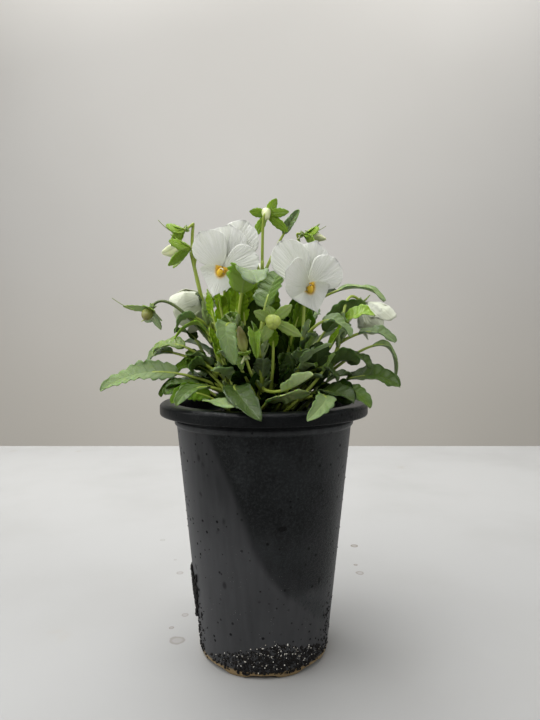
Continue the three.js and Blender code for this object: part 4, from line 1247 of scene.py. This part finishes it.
def pale_green():
    """Pale yellow-green skin, whiter up a bud, greener on a capsule and brown where it is aged."""
    finish = Finish("pale_green", Subsurface_Weight=0.3, Subsurface_Scale=1.2 * MM)
    finish.surface.inputs["Subsurface Radius"].default_value = (0.8, 1.0, 0.3)
    ripe, rise = finish.mark("ripe"), finish.mark("rise")
    cloud = finish.noise(240, 3)
    base = finish.colour(ripe, (0.62, 0.66, 0.36), (0.42, 0.50, 0.10))
    base = finish.colour(rise.step(0.3, 1.0) * (1 - ripe) * 0.6, base, (0.74, 0.74, 0.52))
    base = finish.colour(cloud.step(0.4, 0.75) * 0.3, base, (0.25, 0.30, 0.08))
    base = finish.colour(finish.mark("aged") * (0.3 + rise * 0.7), base, (0.15, 0.10, 0.035))
    seams = finish.mark("seam")
    base = finish.colour(seams * 0.35, base, (0.20, 0.26, 0.06))
    height = cloud * 0.3 - seams * 0.6
    return finish.wear(Base_Color=base, Roughness=0.36 + cloud * 0.1, Normal=finish.bump(height, 0.25, 0.6))


def swollen(form, put, outline, lobes, depth, twist, sides=40, **marks):
    """A solid of revolution about the way the stalk faces, with lobes that twist up it."""
    outline = np.array(outline, float)
    share = (outline[:, 1] - outline[0, 1]) / (outline[-1, 1] - outline[0, 1])
    turns = np.linspace(0, 2 * np.pi, sides, endpoint=False)
    wave = np.cos(lobes * turns[None, :] + twist * share[:, None])
    r = outline[:, :1] * (1 - depth * (1 - np.abs(wave) ** 0.5 * np.sign(wave)) / 2)
    z = np.broadcast_to(outline[:, 1:], r.shape)
    points = np.stack([r * np.cos(turns), r * np.sin(turns), z], -1)
    faces = grid_faces(len(outline), sides, closed=True)[:, ::-1]
    form.add(put(points.reshape(-1, 3)), faces, seam=smooth_step(-0.8, -1.0, wave),
             rise=np.repeat(share, sides), **marks)


def bud(name, stalk):
    """A bud, whose rolled petals show between its sepals, and the short spur behind it."""
    put = facing(stalk)
    form = Form()
    shares = np.linspace(0, 1, 30)
    rolled = np.interp(shares, BUD_SHARES, BUD_RADII)
    outline = np.stack([rolled * stalk["wide"], SEAT + 0.6 + shares * (stalk["long"] + 0.7)], -1)
    withered = 0.9 if "withered" in stalk else 0
    swollen(form, put, outline, lobes=3, depth=0.16, twist=4.5, ripe=withered, aged=withered)
    girth = stalk.get("spur", SPUR_GIRTH)
    spur = bezier([(0, 0.3 * girth, -2.6), (0, -0.8, -3 - girth), (0, -3.6, -6.4)], np.linspace(0, 1, 12))
    tube(form, put(spur), girth * np.sqrt(np.linspace(1, 0.25, 12)), 14, ripe=0.35, rise=1)
    form.place(f"rolled_{name}", BUD_SKIN, "bud_green", name)


def capsule(name, stalk):
    """A round seed capsule with three seams and the style on its tip."""
    put = facing(stalk)
    form = Form()
    radius = stalk.get("radius", CAPSULE_RADIUS)
    turn = np.linspace(0.04, np.pi - 0.04, 28)
    outline = np.stack([radius * np.sin(turn), SEAT + 1.08 * radius * (1 - np.cos(turn))], -1)
    aged = 0.8 if "old" in stalk else 0
    swollen(form, put, outline, lobes=3, depth=0.10, twist=0, ripe=1, aged=aged)
    tip = SEAT + 2.12 * radius
    style = bezier([(0, 0, tip), (0.3, 0.4, tip + 1.2), (0.1, 1.0, tip + 2.0)], np.linspace(0, 1, 8))
    tube(form, put(style), np.linspace(0.35, 0.22, 8), 8, ripe=1, aged=0.6)
    form.place(f"ripe_{name}", BUD_SKIN, "bud_green", name)


# The dried styles and withered petals of flowers that are over: a foot, a bend, a tip and a thickness.
THREADS = [
    ((-72, -12, 195.6), (-80, -13, 199), (-84.5, -14, 202.7), 0.28),
    ((-52, -4, 241), (-56, -4, 243), (-60.6, -4, 248), 0.3),
    ((24.8, 15, 245.8), (31, 14, 243.5), (37.4, 14, 248.4), 0.3),
]


def threads():
    form = Form()
    for *controls, thick in THREADS:
        line = bezier(controls, np.linspace(0, 1, 14))
        tube(form, line, np.linspace(thick, thick * 0.6, 14), 7, grown=0.4, tone=-0.5)
    form.place("dry_styles", STALK, "leaf_green")


BUD_SKIN = pale_green()
for k, stalk in enumerate(stalks_bearing("bud"), 1):
    bud(f"bud_{k}", stalk)
for k, stalk in enumerate(stalks_bearing("capsule"), 1):
    capsule(f"seed_capsule_{k}", stalk)
threads()


# ---------------------------------------------------------------- table, backdrop, light and camera
# The pot stands on a pale table in front of a plain warm grey wall, in a room that six broad soft
# lights fill from above and from both sides.

TABLE_FRONT, TABLE_BACK, TABLE_HALF = -900, 600, 2500
WALL_BACK, WALL_HALF, WALL_LOW, WALL_HIGH = 1400, 4000, -900, 2500
# Dried drips and crumbs on the table: the place, radius and strength of each.
STAINS = [
    (-52, 1, 4.4, 0.4), (-66, 95, 2.6, 0.4), (-93, 164, 2.2, 0.3), (77, 150, 3.0, 0.8), (73, 95, 3.2, 0.5),
    (-52, 31, 2.2, 0.4), (-58, 15, 1.6, 0.6), (72, 110, 1.6, 0.8), (-74, 120, 1.2, 0.4),
]


def plain_sheet(name, corners, finish):
    """A flat four-cornered sheet, which stands round the part and is not one of its pieces."""
    made = bpy.data.meshes.new(name)
    made.from_pydata([tuple(c * MM for c in corner) for corner in corners], [], [(0, 1, 2, 3)])
    made.materials.append(finish)
    obj = bpy.data.objects.new(name, made)
    bpy.context.scene.collection.objects.link(obj)


def table_top():
    """Pale painted board, a little worn, with dried drips and crumbs, and painted shade that darkens it
    towards the front.
    """
    finish = Finish("table_top", Specular_IOR_Level=0.3)
    stains = finish.noise(9, 4)
    spots = finish.cells(14).step(0.16, 0.06) * finish.noise(40, 2).step(0.5, 0.62)
    # painted shade: the board's colour falls towards the front, where less light reaches it
    depth = finish.node("SeparateXYZ", {}, {0: finish.spot()}, output=1)
    base = finish.colour(depth.step(-0.2, 0.5), (0.34, 0.34, 0.335), (0.45, 0.45, 0.44))
    base = finish.colour(stains.step(0.4, 0.75) * 0.25, base, (0.31, 0.305, 0.29))
    base = finish.colour(spots * 0.3, base, (0.36, 0.32, 0.26))
    for x, y, size, share in STAINS:
        blot = finish.node("Mapping", {}, {0: finish.spot(), 1: (-x * MM, -y * MM, 0)})
        away = finish.node("VectorMath", {"operation": "LENGTH"}, {0: blot}, output=1) * (1000 / size)
        away = away + finish.noise(120, 3) * 0.9 - 0.45
        ring = away.step(1.15, 0.9) * (0.45 + away.step(0.5, 0.9) * 0.55)
        base = finish.colour(ring * share, base, (0.13, 0.10, 0.06))
    return finish.wear(Base_Color=base, Roughness=0.6)


def wall_grey():
    """Warm grey plaster, slightly clouded, and painted lighter low down and darker high up as light and
    shade.
    """
    finish = Finish("wall_grey", Roughness=0.9, Specular_IOR_Level=0.1)
    cloud = finish.noise(1.6, 2)
    height = finish.node("SeparateXYZ", {}, {0: finish.spot()}, output=2)
    # painted light and shade: the colour is lighter low on the wall and darker high up
    base = finish.colour(height.step(-0.2, 0.6), (0.70, 0.665, 0.60), (0.60, 0.585, 0.555))
    base = finish.colour(cloud.step(0.3, 0.7) * 0.08, base, (0.30, 0.27, 0.22))
    return finish.wear(Base_Color=base)


plain_sheet("table", [(-TABLE_HALF, TABLE_FRONT, 0), (TABLE_HALF, TABLE_FRONT, 0),
                      (TABLE_HALF, TABLE_BACK, 0), (-TABLE_HALF, TABLE_BACK, 0)], table_top())
plain_sheet("wall", [(-WALL_HALF, WALL_BACK, WALL_LOW), (WALL_HALF, WALL_BACK, WALL_LOW),
                     (WALL_HALF, WALL_BACK, WALL_HIGH), (-WALL_HALF, WALL_BACK, WALL_HIGH)], wall_grey())


def soft_light(name, at, target, size, watts):
    """A round soft light of this width, which looks from one point at another."""
    lamp = bpy.data.lights.new(name, "AREA")
    lamp.shape, lamp.size, lamp.energy = "DISK", size * MM, watts
    obj = bpy.data.objects.new(name, lamp)
    bpy.context.scene.collection.objects.link(obj)
    obj.location = [c * MM for c in at]
    obj.rotation_euler = (Vector(target) - Vector(at)).to_track_quat("-Z", "Y").to_euler()


soft_light("overhead", (-220, 120, 1230), (0, 40, 100), 900, 13.5)
soft_light("ceiling", (-450, -620, 1050), (0, 0, 150), 1000, 8.5)
for hand in (-1, 1):
    soft_light("background", (hand * 640, 900, 1900), (hand * 560, 1400, 1330), 900, 11)
soft_light("window", (-1300, -300, 600), (0, 0, 100), 900, 6.5)
soft_light("fill", (1000, -420, 650), (0, 0, 130), 900, 4.8)

world = bpy.data.worlds.new("room")
bpy.context.scene.world = world
world.use_nodes = True
room_light = world.node_tree.nodes["Background"].inputs
room_light["Color"].default_value = (1.0, 0.99, 0.965, 1)
room_light["Strength"].default_value = 0.12

FOCAL_PIXELS, FRAME_PIXELS = 541, 720  # the focal length and the height of the rendered frame
SENSOR = 36
CAMERA_AT, CAMERA_TILT = (3.5, -316.4, 178.7), 88.0
lens = bpy.data.cameras.new("camera")
lens.sensor_fit = "VERTICAL"
lens.sensor_height = SENSOR
lens.lens = SENSOR * FOCAL_PIXELS / FRAME_PIXELS
camera = bpy.data.objects.new("camera", lens)
camera.location = [c * MM for c in CAMERA_AT]
camera.rotation_euler = (math.radians(CAMERA_TILT), 0, 0)
bpy.context.scene.collection.objects.link(camera)
bpy.context.scene.camera = camera
bpy.context.scene.view_settings.view_transform = "Standard"
